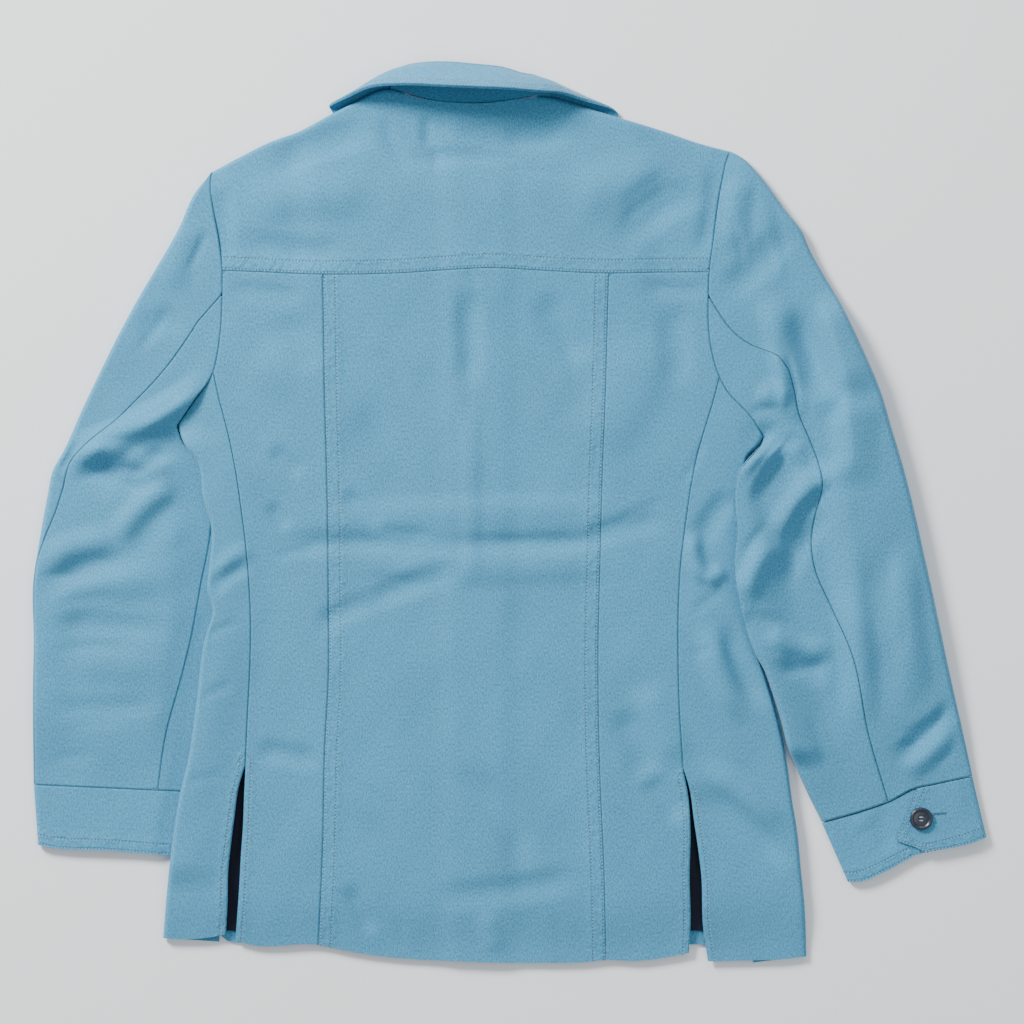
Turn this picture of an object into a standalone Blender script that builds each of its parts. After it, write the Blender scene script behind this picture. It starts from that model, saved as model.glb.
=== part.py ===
"""Leisure suit jacket, laid face down with its back showing.

Sizes are in millimetres until each piece is finished, then in metres. X runs to the right,
Y towards the collar and Z up from the surface that the jacket lies on.
"""
import bpy
import numpy as np

MM = 0.001

# Driving sizes
WALL = 1.6
CUFF_WALL = 1.7
LINING_WALL = 1.0
COLLAR_PLY = 1.0
ROLL_RADIUS = 1.55
SEAM_GAP = 0.3
LAYER_GAP = 0.4
DEPTH = 6.4
UNDER_DEPTH = 4.4
SLEEVE_LIFT = 4.9
COLLAR_LIFT = 2.9
LAP_DEPTH = 2.7
LAP_RISE = 2.5
FOLD_RADIUS = 4.5
CUFF_OVERLAP = 27.0
BUTTON_RADIUS = 10.0
BUTTON_HEIGHT = 3.2

# Outlines and seams of the back, read from collar to hem or from left to right: x, y
SHOULDER_LINE = (
    (-262.4, 300.3), (-237.7, 313.6), (-211.2, 326.8), (-184.8, 336.5), (-158.3, 350.6),
    (-135.4, 362.1), (-107.2, 373.1), (-88.6, 367.5), (-58.7, 362.1), (-38.4, 360.6),
    (-18.1, 361.0), (11.9, 365.0), (37.5, 365.6), (53.4, 361.2), (91.3, 349.7),
    (132.7, 337.4), (172.4, 324.1), (194.9, 318.4))
YOKE_SEAM = (
    (-253.1, 213.4), (-220.1, 212.1), (-164.5, 209.9), (-93.9, 211.2), (-52.5, 213.9),
    (-15.4, 215.6), (26.9, 213.4), (87.3, 210.8), (132.7, 211.7), (176.0, 212.1))
ARMHOLE_LEFT = (
    (-262.4, 300.3), (-263.7, 288.9), (-262.8, 278.3), (-256.2, 239.5), (-253.1, 213.4),
    (-253.1, 198.9), (-255.0, 156.6), (-258.0, 136.3), (-261.1, 123.9), (-265.5, 115.1),
    (-276.5, 100.5), (-285.3, 87.8), (-292.8, 77.2))
ARMHOLE_RIGHT = (
    (194.9, 318.4), (192.3, 312.7), (187.4, 292.4), (179.5, 239.5), (176.0, 212.1),
    (175.3, 190.1), (175.3, 166.3), (177.7, 145.1), (185.2, 119.5), (194.0, 104.1),
    (205.5, 92.6), (215.6, 80.7), (223.6, 66.6))
ARMHOLE_STOPS = (0, 4, 8, 12)
PRINCESS_LEFT = (
    (-164.5, 209.9), (-162.7, 99.2), (-160.5, 11.0), (-159.6, -77.2), (-159.6, -147.7),
    (-162.5, -200.7), (-164.8, -301.2), (-168.5, -381.5))
PRINCESS_RIGHT = (
    (87.3, 210.8), (86.0, 161.0), (84.2, 99.2), (81.6, 28.7), (79.8, -41.9),
    (78.1, -112.5), (78.1, -165.4), (79.8, -235.9), (82.9, -306.5), (85.1, -394.7))
SIDE_SEAM_LEFT = (
    (-261.1, 123.9), (-255.7, 99.2), (-248.3, 71.0), (-241.5, 38.4), (-236.1, 2.2),
    (-232.1, -30.4), (-229.4, -63.1), (-228.0, -94.8), (-228.4, -130.1), (-230.6, -175.1),
    (-232.8, -222.5))
SIDE_SEAM_RIGHT = (
    (185.2, 119.5), (179.5, 97.5), (171.1, 70.1), (165.4, 49.8), (161.0, 28.7),
    (155.7, -6.6), (151.3, -41.9), (149.1, -77.2), (148.6, -121.3), (149.5, -165.4),
    (153.0, -225.4))
VENT_LEFT_SIDE_LIP = (
    (-232.8, -222.5), (-238.6, -242.1), (-242.1, -266.8), (-245.1, -290.6), (-247.8, -316.2),
    (-248.3, -342.7), (-250.0, -372.2))
VENT_LEFT_BACK_LIP = (
    (-232.8, -222.5), (-234.2, -253.6), (-234.9, -273.9), (-236.8, -301.2), (-238.4, -330.3),
    (-241.9, -377.1))
VENT_RIGHT_BACK_LIP = (
    (153.0, -225.4), (157.6, -250.0), (159.6, -280.9), (158.9, -317.1), (159.6, -368.2),
    (158.3, -388.5))
VENT_RIGHT_SIDE_LIP = (
    (153.0, -225.4), (158.3, -243.0), (162.2, -270.3), (166.0, -296.4), (168.6, -317.1),
    (170.7, -368.2), (175.1, -396.0))
HEM_LEFT = ((-305.6, -375.3), (-290.6, -376.2), (-273.0, -375.7), (-250.0, -372.2))
HEM_BACK = (
    (-241.9, -377.1), (-228.9, -381.0), (-168.5, -381.5), (-145.1, -386.3), (-118.6, -390.7),
    (-39.2, -396.0), (26.9, -397.3), (66.6, -396.5), (85.1, -394.7), (109.8, -395.6),
    (132.7, -393.4), (158.3, -388.5))
HEM_RIGHT = ((262.0, -391.6), (239.5, -394.1), (212.1, -395.1), (175.1, -396.0))
EDGE_LEFT = (
    (-292.8, 77.2), (-287.1, 61.3), (-282.7, 54.2), (-274.7, 44.5), (-271.7, 30.4),
    (-270.8, 17.2), (-267.7, 4.9), (-263.3, -10.1), (-262.4, -19.8), (-265.0, -50.7),
    (-266.4, -66.6), (-261.6, -86.0), (-268.6, -111.6), (-276.5, -172.4), (-284.4, -223.6),
    (-289.7, -244.8), (-298.6, -303.0), (-302.1, -333.0), (-305.6, -375.3))
EDGE_RIGHT = (
    (223.6, 66.6), (219.4, 58.7), (209.9, 47.9), (206.5, 34.0), (206.5, 16.0), (207.0, 0.0),
    (207.5, -38.4), (209.0, -77.2), (215.0, -112.5), (227.0, -147.7), (235.3, -176.0),
    (241.6, -202.4), (245.6, -227.1), (249.2, -253.6), (253.6, -280.0), (257.1, -315.3),
    (260.6, -350.6), (262.0, -391.6))

# Underside: where the side panels meet the fronts, and the fronts' own edges: x, y
FRONT_SEAM_LEFT = (
    (-292.8, 77.2), (-262.0, 50.0), (-232.0, 0.0), (-222.0, -60.0), (-221.0, -120.0),
    (-228.0, -180.0), (-238.0, -250.0), (-246.0, -310.0), (-254.0, -374.0))
FRONT_SEAM_RIGHT = (
    (223.6, 66.6), (193.0, 40.0), (168.0, -10.0), (163.0, -70.0), (170.0, -130.0),
    (182.0, -190.0), (194.0, -250.0), (205.0, -318.0), (213.0, -385.0))
NECK_FRONT_LEFT = (
    (-107.2, 373.1), (-106.4, 361.0), (-103.5, 351.0), (-96.0, 333.0), (-79.0, 311.0),
    (-57.0, 294.0), (-38.0, 289.5), (-20.0, 289.5))
NECK_FRONT_RIGHT = (
    (37.5, 365.6), (37.0, 354.0), (34.5, 345.0), (27.0, 327.0), (10.0, 305.5),
    (-12.0, 291.5), (-28.0, 289.5), (-44.0, 289.5))
LAP_EDGE_LEFT = ((-20.0, 289.5), (-14.0, 0.0), (-12.0, -381.0))
LAP_EDGE_RIGHT = ((-44.0, 289.5), (-38.0, 0.0), (-36.0, -381.0))
HEM_FRONT_LEFT = ((-254.0, -374.0), (-243.0, -380.0), (-130.0, -381.5), (-12.0, -381.0))
HEM_FRONT_RIGHT = ((213.0, -385.0), (180.0, -382.0), (100.0, -381.5), (-36.0, -381.0))

# Sleeves: folded edges, seams and cuffs: x, y
SLEEVE_OUTER_LEFT = (
    (-262.4, 300.3), (-275.6, 284.4), (-292.4, 249.2), (-312.7, 213.9), (-323.3, 196.2),
    (-342.7, 161.0), (-360.3, 125.7), (-377.1, 90.4), (-392.9, 55.1), (-402.6, 37.5),
    (-407.5, 15.0), (-415.9, -33.1), (-420.0, -60.0), (-419.5, -112.5), (-420.3, -156.6),
    (-420.3, -209.5), (-419.8, -239.9))
SLEEVE_INNER_LEFT = (
    (-292.8, 77.2), (-288.2, 61.3), (-283.7, 54.2), (-270.5, 38.4), (-263.5, 22.0),
    (-258.5, 6.6), (-255.3, -10.1), (-254.3, -28.7), (-255.2, -50.7), (-256.2, -73.6),
    (-256.8, -90.0), (-261.5, -112.5), (-269.5, -165.4), (-277.4, -213.9), (-284.0, -246.1))
HIND_SEAM_LEFT = (
    (-253.1, 198.9), (-265.0, 183.0), (-281.8, 156.6), (-293.3, 139.8), (-307.8, 121.3),
    (-326.8, 101.0), (-347.9, 80.7), (-370.0, 63.1), (-384.6, 48.1), (-393.8, 19.8),
    (-400.9, -2.2), (-412.0, -24.0))
FORE_SEAM_LEFT = (
    (-291.0, 62.0), (-262.0, 0.0), (-265.0, -28.7), (-271.2, -60.4), (-280.9, -112.5),
    (-287.4, -139.8), (-303.6, -201.5), (-309.6, -242.6))
CUFF_END_LEFT = (
    (-292.4, -303.0), (-300.3, -302.5), (-350.6, -298.6), (-401.8, -295.9), (-415.9, -293.3))
SLEEVE_OUTER_RIGHT = (
    (194.9, 318.4), (201.5, 315.3), (216.5, 302.1), (230.6, 284.4), (243.0, 266.8),
    (257.1, 249.2), (265.0, 231.5), (295.0, 178.6), (311.8, 143.3), (326.8, 108.0),
    (337.4, 72.8), (347.9, 37.5), (356.8, 2.2), (364.7, -33.1), (372.6, -68.4),
    (387.6, -138.9), (403.5, -209.5), (408.4, -232.0))
SLEEVE_INNER_RIGHT = (
    (223.6, 66.6), (220.1, 58.7), (210.6, 48.1), (201.5, 36.6), (197.1, 16.3),
    (197.7, -1.3), (199.3, -16.3), (197.7, -35.7), (198.6, -59.5), (201.5, -77.2),
    (206.8, -98.8), (214.8, -122.2), (223.9, -138.4), (231.0, -158.3), (238.6, -183.0),
    (245.6, -209.5), (253.6, -227.1), (261.5, -244.8), (275.6, -273.0))
HIND_SEAM_RIGHT = (
    (175.5, 190.1), (181.1, 179.1), (192.5, 164.5), (202.2, 154.8), (213.7, 147.3),
    (233.3, 139.8), (243.0, 130.1), (250.0, 110.7), (255.3, 86.0), (265.0, 63.1),
    (272.1, 43.7), (275.6, 24.3), (269.5, -2.2), (265.9, -28.7), (269.5, -50.7),
    (283.2, -82.5), (300.3, -122.2), (316.9, -198.0), (333.8, -254.2))
CUFF_END_RIGHT = (
    (298.6, -325.9), (307.9, -325.9), (332.6, -316.2), (362.3, -301.0), (374.7, -298.1),
    (387.1, -296.3), (416.7, -288.2), (420.7, -286.2))
# How far the right sleeve's rows bow towards the shoulder at the cuff: share across, rise
CUFF_BOW_RIGHT = ((0.0, 0.0), (0.3, -0.8), (0.45, 0.2), (0.6, 4.6), (0.75, 3.0), (1.0, 0.0))
# Outer end of a right sleeve row above its inner end: inner y, rise
ROW_TILT_RIGHT = ((-273.0, 41.0), (-100.0, 27.0), (66.6, 13.0), (212.0, 1.5), (318.4, -2.5))
# Pointed end of the right cuff: share from seam to end, x
TAB_POINT = ((0.0, 359.2), (0.3, 350.5), (0.56, 341.6), (0.64, 341.6), (1.0, 367.0))

# Collar rows from its left front end to its right one, neck seam, roll and leaf edge
COLLAR_ROWS = (
    # neck x, y, z, roll x, y, z, leaf x, y, z, share lying flat, bulge
    (-38.5, 290.5, 4.3, -37.0, 301.0, 2.8, -84.0, 226.0, 1.5, 1.0, 0.0),
    (-56.6, 295.2, 4.3, -52.0, 306.0, 2.8, -108.0, 252.0, 1.5, 1.0, 0.0),
    (-78.0, 312.2, 4.3, -70.0, 322.0, 2.8, -132.0, 289.0, 1.5, 1.0, 0.0),
    (-94.8, 333.8, 4.4, -84.0, 342.0, 2.8, -149.0, 330.0, 1.5, 1.0, 0.0),
    (-102.4, 352.0, 4.6, -91.0, 361.0, 2.9, -155.5, 351.5, 1.5, 1.0, 0.0),
    (-103.4, 364.5, 4.7, -95.0, 374.0, 3.2, -157.5, 355.5, 1.7, 0.85, 0.5),
    (-104.8, 374.9, 5.8, -99.5, 385.0, 4.6, -158.5, 359.0, 6.0, 0.5, 0.5),
    (-102.4, 374.9, 7.4, -98.0, 389.5, 6.6, -143.5, 366.0, 14.0, 0.1, 2.0),
    (-92.0, 371.0, 8.1, -90.0, 393.2, 8.8, -125.0, 373.4, 25.0, 0.0, 3.0),
    (-74.0, 365.6, 8.1, -72.0, 395.8, 12.0, -94.0, 375.4, 36.5, 0.0, 2.0),
    (-53.0, 362.3, 8.1, -50.0, 395.8, 13.5, -58.0, 373.6, 43.0, 0.0, 1.0),
    (-32.0, 361.4, 8.1, -28.0, 393.8, 14.0, -29.0, 372.3, 44.0, 0.0, 1.0),
    (-9.0, 362.9, 8.1, -6.0, 391.3, 13.5, -2.0, 371.3, 42.5, 0.0, 1.0),
    (8.0, 365.8, 8.1, 10.0, 386.5, 12.0, 22.0, 369.6, 36.0, 0.0, 1.5),
    (22.3, 368.2, 8.1, 20.3, 384.7, 8.8, 46.0, 368.4, 25.0, 0.0, 2.5),
    (32.7, 368.0, 7.4, 28.0, 381.5, 6.6, 67.0, 363.0, 14.0, 0.1, 2.0),
    (35.1, 368.0, 5.8, 29.4, 377.8, 4.6, 90.0, 356.5, 6.0, 0.5, 0.5),
    (33.7, 357.2, 4.7, 25.3, 366.9, 3.2, 96.0, 351.8, 1.8, 0.85, 0.5),
    (33.0, 345.4, 4.6, 21.5, 354.0, 2.9, 94.0, 347.0, 1.5, 1.0, 0.0),
    (25.8, 328.0, 4.4, 15.0, 336.0, 2.8, 86.0, 323.0, 1.5, 1.0, 0.0),
    (9.0, 306.8, 4.3, 1.0, 317.0, 2.8, 71.0, 285.0, 1.5, 1.0, 0.0),
    (-12.6, 292.7, 4.3, -17.0, 303.5, 2.8, 48.0, 249.0, 1.5, 1.0, 0.0),
    (-26.5, 290.5, 4.3, -28.0, 301.0, 2.8, 22.0, 224.0, 1.5, 1.0, 0.0))

# Soft ridges and troughs: x and y of both ends, sideways bend, width on each side, height
BODY_FOLDS = (
    ("under_arm_line", -37, 202, -34, 105, 0, 13, 13, -1.7),
    ("front_edge_below", -35, 110, -34, -70, 0, 9, 9, 0.8),
    ("right_blade", 27, 196, 71, 130, -4, 18, 18, -1.5),
    ("right_pull", 144, 190, 147, 105, 0, 16, 16, -1.4),
    ("waist_left", -216, -28, -55, -26, 3, 10, 14, -1.5),
    ("waist_centre", -75, -27, 90, -22, -2, 9, 12, -1.8),
    ("waist_right", 60, -22, 142, -4, 2, 9, 14, -2.2),
    ("waist_roll", -200, -8, 130, 2, 4, 14, 22, 1.5),
    ("seat_roll", -150, -50, 120, -44, -3, 18, 14, 1.0),
    ("slope_a", -135, -84, -32, -46, 3, 12, 12, -1.4),
    ("slope_b", -172, -102, -118, -76, 2, 11, 11, -1.1),
    ("left_a", -212, 57, -182, 32, 0, 10, 10, -1.1),
    ("left_b", -146, 20, -112, -15, 0, 10, 10, -1.1),
    ("left_c", -212, 8, -194, -15, 0, 8, 8, -1.0),
    ("notch_fold", -264, -72, -226, -46, 4, 9, 8, -1.9),
    ("notch_ridge", -262, -58, -222, -30, 4, 9, 9, 1.8),
    ("right_hollow", 166, -32, 200, 20, 4, 12, 12, -2.3),
    ("right_curl", 162, -14, 176, -66, -6, 9, 9, 4.2),
    ("right_curl_end", 174, -66, 192, -50, 3, 8, 8, 3.4),
    ("hip_right_a", 95, -172, 122, -238, 3, 16, 16, -1.6),
    ("hip_right_b", 120, -232, 152, -274, 2, 14, 14, -1.5),
    ("hip_right_ridge", 112, -150, 150, -225, 4, 18, 18, 1.6),
    ("skirt_right", 160, -240, 250, -316, 4, 12, 14, -1.9),
    ("skirt_right_ridge", 168, -222, 246, -282, 4, 14, 12, 1.5),
    ("beside_sleeve", 190, -92, 226, -176, -5, 10, 10, -1.9),
    ("beside_sleeve_ridge", 172, -96, 206, -190, -4, 13, 12, 2.0),
    ("skirt_centre", -45, -220, 18, -318, 8, 16, 16, -1.5),
    ("skirt_low", -76, -338, 72, -318, -4, 12, 14, -1.2),
    ("skirt_left", -228, -210, -164, -222, 3, 11, 11, -1.2),
    ("hem_a", -145, -326, -119, -374, 0, 10, 10, -1.1),
    ("hem_b", -20, -350, -12, -392, 0, 10, 12, 1.0),
    ("blade_roll_left", -225, 150, -120, 60, 10, 30, 34, 1.6),
    ("blade_roll_right", 130, 160, 60, 50, 8, 30, 30, 1.5),
    ("yoke_left", -216, 303, -118, 336, 4, 14, 14, -1.5),
    ("yoke_neck", -52, 335, 60, 340, -6, 14, 12, -1.7),
    ("yoke_upright", -73, 352, -72, 318, 0, 6, 7, -1.1),
    ("yoke_level", -96, 312, 20, 313, 2, 8, 9, -1.1),
    ("yoke_low_left", -246, 242, -140, 228, -4, 14, 14, -1.4),
    ("yoke_low_right", 176, 288, 88, 232, -6, 16, 16, -1.6),
    ("yoke_roll_left", -240, 270, -110, 275, 8, 22, 22, 1.5),
    ("yoke_roll_right", 50, 270, 150, 300, 6, 24, 24, 1.4))
LEFT_SLEEVE_FOLDS = (
    ("arm_ridge", -256, 122, -396, 48, 8, 16, 15, 5.0),
    ("elbow_hollow_a", -278, 62, -350, 48, -4, 13, 12, -2.5),
    ("elbow_hollow_b", -346, 54, -374, 16, 2, 18, 16, -2.5),
    ("elbow_roll", -392, 46, -300, 30, 14, 10, 10, 3.2),
    ("elbow_arc", -388, 30, -322, 12, 12, 9, 9, -2.2),
    ("crook_a", -418, -72, -330, -46, 10, 12, 12, -2.5),
    ("crook_b", -336, -50, -276, 22, 6, 12, 12, -2.4),
    ("crook_roll_a", -414, -48, -340, -26, 8, 13, 13, 4.4),
    ("crook_roll_b", -350, -32, -290, 28, 8, 12, 12, 3.6),
    ("crook_low", -412, -92, -290, -60, 14, 16, 18, 2.2),
    ("forearm_a", -412, -101, -290, -106, 4, 11, 11, -1.3),
    ("forearm_b", -412, -171, -300, -166, -4, 11, 11, -1.2),
    ("forearm_roll", -404, -136, -300, -140, 4, 16, 16, 1.2),
    ("cap_roll", -276, 262, -300, 190, -4, 16, 14, 2.0),
    ("cap_hollow", -330, 160, -285, 170, 3, 14, 14, -1.4))
RIGHT_SLEEVE_FOLDS = (
    ("cap_ridge", 206, 304, 200, 226, -4, 14, 14, 3.0),
    ("cap_hollow", 248, 254, 186, 190, 4, 14, 15, -2.4),
    ("arm_hollow_a", 248, 186, 276, 96, -4, 14, 14, -2.6),
    ("arm_hollow_b", 276, 106, 264, 22, -4, 14, 14, -2.6),
    ("arm_ridge_a", 270, 196, 303, 96, -6, 15, 14, 5.2),
    ("arm_ridge_b", 300, 110, 292, 20, -8, 14, 14, 4.2),
    ("pit_roll", 214, 108, 262, 84, 4, 14, 12, 3.2),
    ("pit_hollow", 196, 42, 248, 72, 5, 12, 12, -2.5),
    ("loop_roll_a", 286, 44, 232, -30, -6, 12, 13, 5.0),
    ("loop_roll_b", 238, -22, 204, -82, -5, 12, 12, 4.6),
    ("loop_hollow_a", 254, 52, 216, -4, -5, 12, 11, -2.4),
    ("loop_hollow_b", 282, 6, 236, -70, -4, 12, 12, -2.2),
    ("crook_a", 206, -86, 238, -108, -2, 11, 11, -2.0),
    ("crook_b", 236, -128, 284, -144, -3, 12, 12, -1.9),
    ("crook_roll", 220, -104, 290, -122, -4, 10, 11, 2.6),
    ("outer_hollow", 326, -14, 334, -188, -6, 17, 17, -2.3),
    ("outer_ridge", 348, -20, 362, -170, -4, 14, 14, 2.4),
    ("inner_ridge", 296, -60, 306, -200, 5, 18, 16, 2.6),
    ("cuff_crease", 396, -163, 334, -222, 4, 11, 11, -2.2),
    ("cuff_roll", 392, -186, 344, -232, 4, 11, 10, 2.4))

# Counts along and across the pieces
ROWS_ARMHOLE = (6, 4, 3)
ROWS_SIDE = 16
ROWS_VENT = 6
COLUMNS_BACK = (5, 14, 5)
COLUMNS_SHOULDER = (7, 10, 7)
ROWS_SLEEVE = 15
ROWS_COLLAR = 38
ROWS_CUFF = 3


def soft(value):
    """Ramp that leaves 0 and reaches 1 without a corner."""
    value = np.clip(value, 0.0, 1.0)
    return value * value * (3.0 - 2.0 * value)


def spline(knots, values, where):
    """Cubic curve through the values, with each knot's slope from its neighbours."""
    knots = np.asarray(knots, float)
    values = np.asarray(values, float)
    if knots[0] > knots[-1]:
        knots = knots[::-1]
        values = values[::-1]
    where = np.clip(np.asarray(where, float), knots[0], knots[-1])
    step = np.diff(knots)
    secant = np.diff(values) / step
    slope = np.empty_like(values)
    slope[0] = secant[0]
    slope[-1] = secant[-1]
    slope[1:-1] = (step[1:] * secant[:-1] + step[:-1] * secant[1:]) / (step[:-1] + step[1:])
    cell = np.clip(np.searchsorted(knots, where, side="right") - 1, 0, len(step) - 1)
    wide = step[cell]
    part = (where - knots[cell]) / wide
    start = (1 + 2 * part) * (1 - part) ** 2 * values[cell]
    lead = part * (1 - part) ** 2 * wide * slope[cell]
    finish = part ** 2 * (3 - 2 * part) * values[cell + 1]
    trail = part ** 2 * (part - 1) * wide * slope[cell + 1]
    return start + lead + finish + trail


def chord_length(points):
    """Running length of the straight steps between the points."""
    steps = np.linalg.norm(np.diff(points, axis=0), axis=1)
    return np.concatenate([[0.0], np.cumsum(steps)])


def trace(table, stops, counts):
    """Samples on the smooth line through the table, evenly between the numbered stops."""
    points = np.array(table, float)
    length = chord_length(points[:, :2])
    where = [length[stops[0]]]
    for first, last, count in zip(stops[:-1], stops[1:], counts):
        where.extend(np.linspace(length[first], length[last], count + 1)[1:])
    return np.stack([spline(length, points[:, k], where) for k in range(points.shape[1])], 1)


def evenly(table, count):
    """Samples on the whole line through the table."""
    return trace(table, (0, len(table) - 1), (count,))


def across(table, y):
    """x of a line at the given y."""
    points = np.array(table, float)
    return spline(points[:, 1], points[:, 0], y)


def fill(top, bottom, left, right):
    """Points over a patch, blended from its four sampled sides."""
    s = np.linspace(0, 1, len(top))[None, :, None]
    t = np.linspace(0, 1, len(left))[:, None, None]
    rows = (1 - t) * top[None] + t * bottom[None]
    columns = (1 - s) * left[:, None] + s * right[:, None]
    ends = (1 - t) * ((1 - s) * top[0] + s * top[-1]) + t * ((1 - s) * bottom[0] + s * bottom[-1])
    return rows + columns - ends


def unit(vectors):
    """Vectors at length one."""
    size = np.linalg.norm(vectors, axis=-1, keepdims=True)
    return vectors / np.maximum(size, 1e-9)


def inset(line, inside, amount):
    """A sampled seam moved square to itself, towards the inside points."""
    along = np.gradient(line, axis=0)
    normal = unit(np.stack([-along[:, 1], along[:, 0]], 1))
    sign = np.sign(np.sum(normal * (inside - line), axis=1, keepdims=True))
    return line + normal * sign * amount


def inset_sides(grid, sides):
    """A patch drawn back from the named seams by half the seam gap."""
    moved = grid.copy()
    half = SEAM_GAP / 2
    if "top" in sides:
        moved[0] += inset(grid[0], grid[1], half) - grid[0]
    if "bottom" in sides:
        moved[-1] += inset(grid[-1], grid[-2], half) - grid[-1]
    if "left" in sides:
        moved[:, 0] += inset(grid[:, 0], grid[:, 1], half) - grid[:, 0]
    if "right" in sides:
        moved[:, -1] += inset(grid[:, -1], grid[:, -2], half) - grid[:, -1]
    return moved


def relief(folds, points):
    """Height of the soft ridges and troughs at the points."""
    height = np.zeros(points.shape[:-1])
    for name, x0, y0, x1, y1, bend, width_left, width_right, rise in folds:
        start = np.array((x0, y0), float)
        chord = np.array((x1, y1), float) - start
        length = np.hypot(*chord)
        along = chord / length
        share = ((points - start) @ along) / length
        beside = (points - start) @ np.array((-along[1], along[0]))
        inner = np.clip(share, 0, 1)
        beside = beside - 4 * bend * inner * (1 - inner)
        width = np.where(beside > 0, width_left, width_right)
        cross = np.clip(1 - (beside / (1.25 * width)) ** 2, 0, 1) ** 2
        height += rise * cross * soft(share / 0.3) * soft((1 - share) / 0.3)
    return height


def dip(points):
    """Thinner cloth at the armpits and shoulder points, where seams meet."""
    x = points[..., 0]
    y = points[..., 1]
    loss = np.zeros(x.shape)
    for px, py, reach in ((-292.8, 77.2, 26), (223.6, 66.6, 26), (-262.4, 300.3, 20), (194.9, 318.4, 20)):
        loss += 2.2 * soft(1 - np.hypot(x - px, y - py) / reach)
    return loss


def collar_lift(points):
    """Rise of the fronts over the collar leaf that lies below them."""
    x = points[..., 0]
    y = points[..., 1]
    return COLLAR_LIFT * soft((y - 150) / 70) * soft((x + 196) / 30) * soft((136 - x) / 30)


def lift_share_left(y):
    """Share of the left lift along the body, full between armpit and cuff end."""
    return soft((77 - y) / 20) * soft((y + 334) / 26)


def lift_share_right(y):
    """Share of the right sleeve's lift over the body."""
    return soft((66 - y) / 19) * soft((y + 226) / 20)


def sleeve_reach_left(y):
    """x of the left sleeve's inner fold, carried on down the cuff."""
    sleeve = across(SLEEVE_INNER_LEFT, y)
    cuff = -284.0 + (-292.4 + 284.0) * np.clip((-246.1 - y) / 56.9, 0, 1)
    return np.where(y < -246.1, cuff, sleeve)


def body_under(points):
    """Underside of the body: flat, but over the left sleeve and the collar leaf."""
    x = points[..., 0]
    y = points[..., 1]
    beyond = soft((sleeve_reach_left(y) + 22 - x) / 20)
    return SLEEVE_LIFT * lift_share_left(y) * beyond + collar_lift(points)


def body_top(points):
    """Upper face of the body."""
    x = points[..., 0]
    y = points[..., 1]
    beyond = soft((sleeve_reach_left(y) + 52 - x) / 50)
    lifted = SLEEVE_LIFT * lift_share_left(y) * beyond
    lifted = np.maximum(lifted, body_under(points) - collar_lift(points))
    hem = 1.6 * soft((-345 - y) / 45)
    lap = LAP_DEPTH * soft((x + 66) / 20) * soft((10 - x) / 20)
    high = DEPTH + relief(BODY_FOLDS, points) - dip(points) - hem + 0.5 * lap
    return lifted + collar_lift(points) + np.maximum(high, 2 * WALL + 0.5 + lap)


def left_sleeve_under(points):
    """The left sleeve lies on the surface."""
    return np.zeros(points.shape[:-1])


def left_sleeve_top(points):
    """Upper face of the left sleeve, pressed thin below the body."""
    x = points[..., 0]
    y = points[..., 1]
    edge = across(EDGE_LEFT, y)
    pressed = soft((x - edge + 18) / 14) * lift_share_left(y)
    high = DEPTH + relief(LEFT_SLEEVE_FOLDS, points) - dip(points)
    high = high * (1 - pressed) + UNDER_DEPTH * pressed
    return np.maximum(high, 2 * WALL + 0.5)


def right_sleeve_under(points):
    """Underside of the right sleeve, lifted where it lies on the body."""
    x = points[..., 0]
    y = points[..., 1]
    edge = across(EDGE_RIGHT, y)
    near = soft((edge + 21 - x) / 16)
    return lift_share_right(y) * near * (body_top(points) + 2 * LAYER_GAP)


def right_sleeve_top(points):
    """Upper face of the right sleeve."""
    x = points[..., 0]
    y = points[..., 1]
    edge = across(EDGE_RIGHT, y)
    near = soft((edge + 46 - x) / 44)
    lifted = lift_share_right(y) * near * (DEPTH + LAYER_GAP)
    high = DEPTH + relief(RIGHT_SLEEVE_FOLDS, points) - dip(points)
    high = lifted + np.maximum(high, 2 * WALL + 0.5)
    return np.maximum(high, right_sleeve_under(points) + 2 * WALL + 0.5)


def two_faces(points, angle, amount, inward, upper, top, under, thickness):
    """Outer and inner faces of the cloth, bent round the folded edges.

    The angle runs from 0 at the middle of a fold to 90 degrees where the cloth is flat.
    """
    high = top(points)
    low = under(points)
    half = (high - low) / 2
    lost = amount * (1 - np.sin(angle))
    outer = np.where(upper, high - lost * half, low + lost * half)
    above = high - thickness - lost * (half - thickness)
    below = low + thickness + lost * (half - thickness)
    inner = np.where(upper, above, below)
    moved = points + inward * (thickness * np.cos(angle) * amount)[..., None]
    return np.dstack([points, outer]), np.dstack([moved, inner])


def fold_angle(distance, radius):
    """Angle round a folded edge at a distance in from it."""
    return np.arccos(np.clip(1 - distance / radius, 0, 1))


def flat_patch(grid, upper, top, under, shares=None):
    """A patch of one layer; shares, one for each column, round its first row as a fold."""
    points = grid
    angle = np.full(grid.shape[:2], np.pi / 2)
    amount = np.zeros(grid.shape[:2])
    inward = np.zeros(grid.shape)
    if shares is not None:
        lead = unit(grid[1] - grid[0])
        rows = []
        turns = (np.arcsin(SEAM_GAP / 2 / 3.2), np.radians(32), np.radians(60), np.pi / 2)
        for turn in turns:
            rows.append(grid[0] + lead * FOLD_RADIUS * (1 - np.cos(turn)))
        points = np.concatenate([np.stack(rows), grid[1:]])
        angle = np.full(points.shape[:2], np.pi / 2)
        amount = np.zeros(points.shape[:2])
        for k, turn in enumerate(turns):
            angle[k] = turn
            amount[k] = shares
        inward = np.zeros(points.shape)
        inward[:len(turns)] = lead
    return two_faces(points, angle, amount, inward, upper, top, under, WALL)


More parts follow.
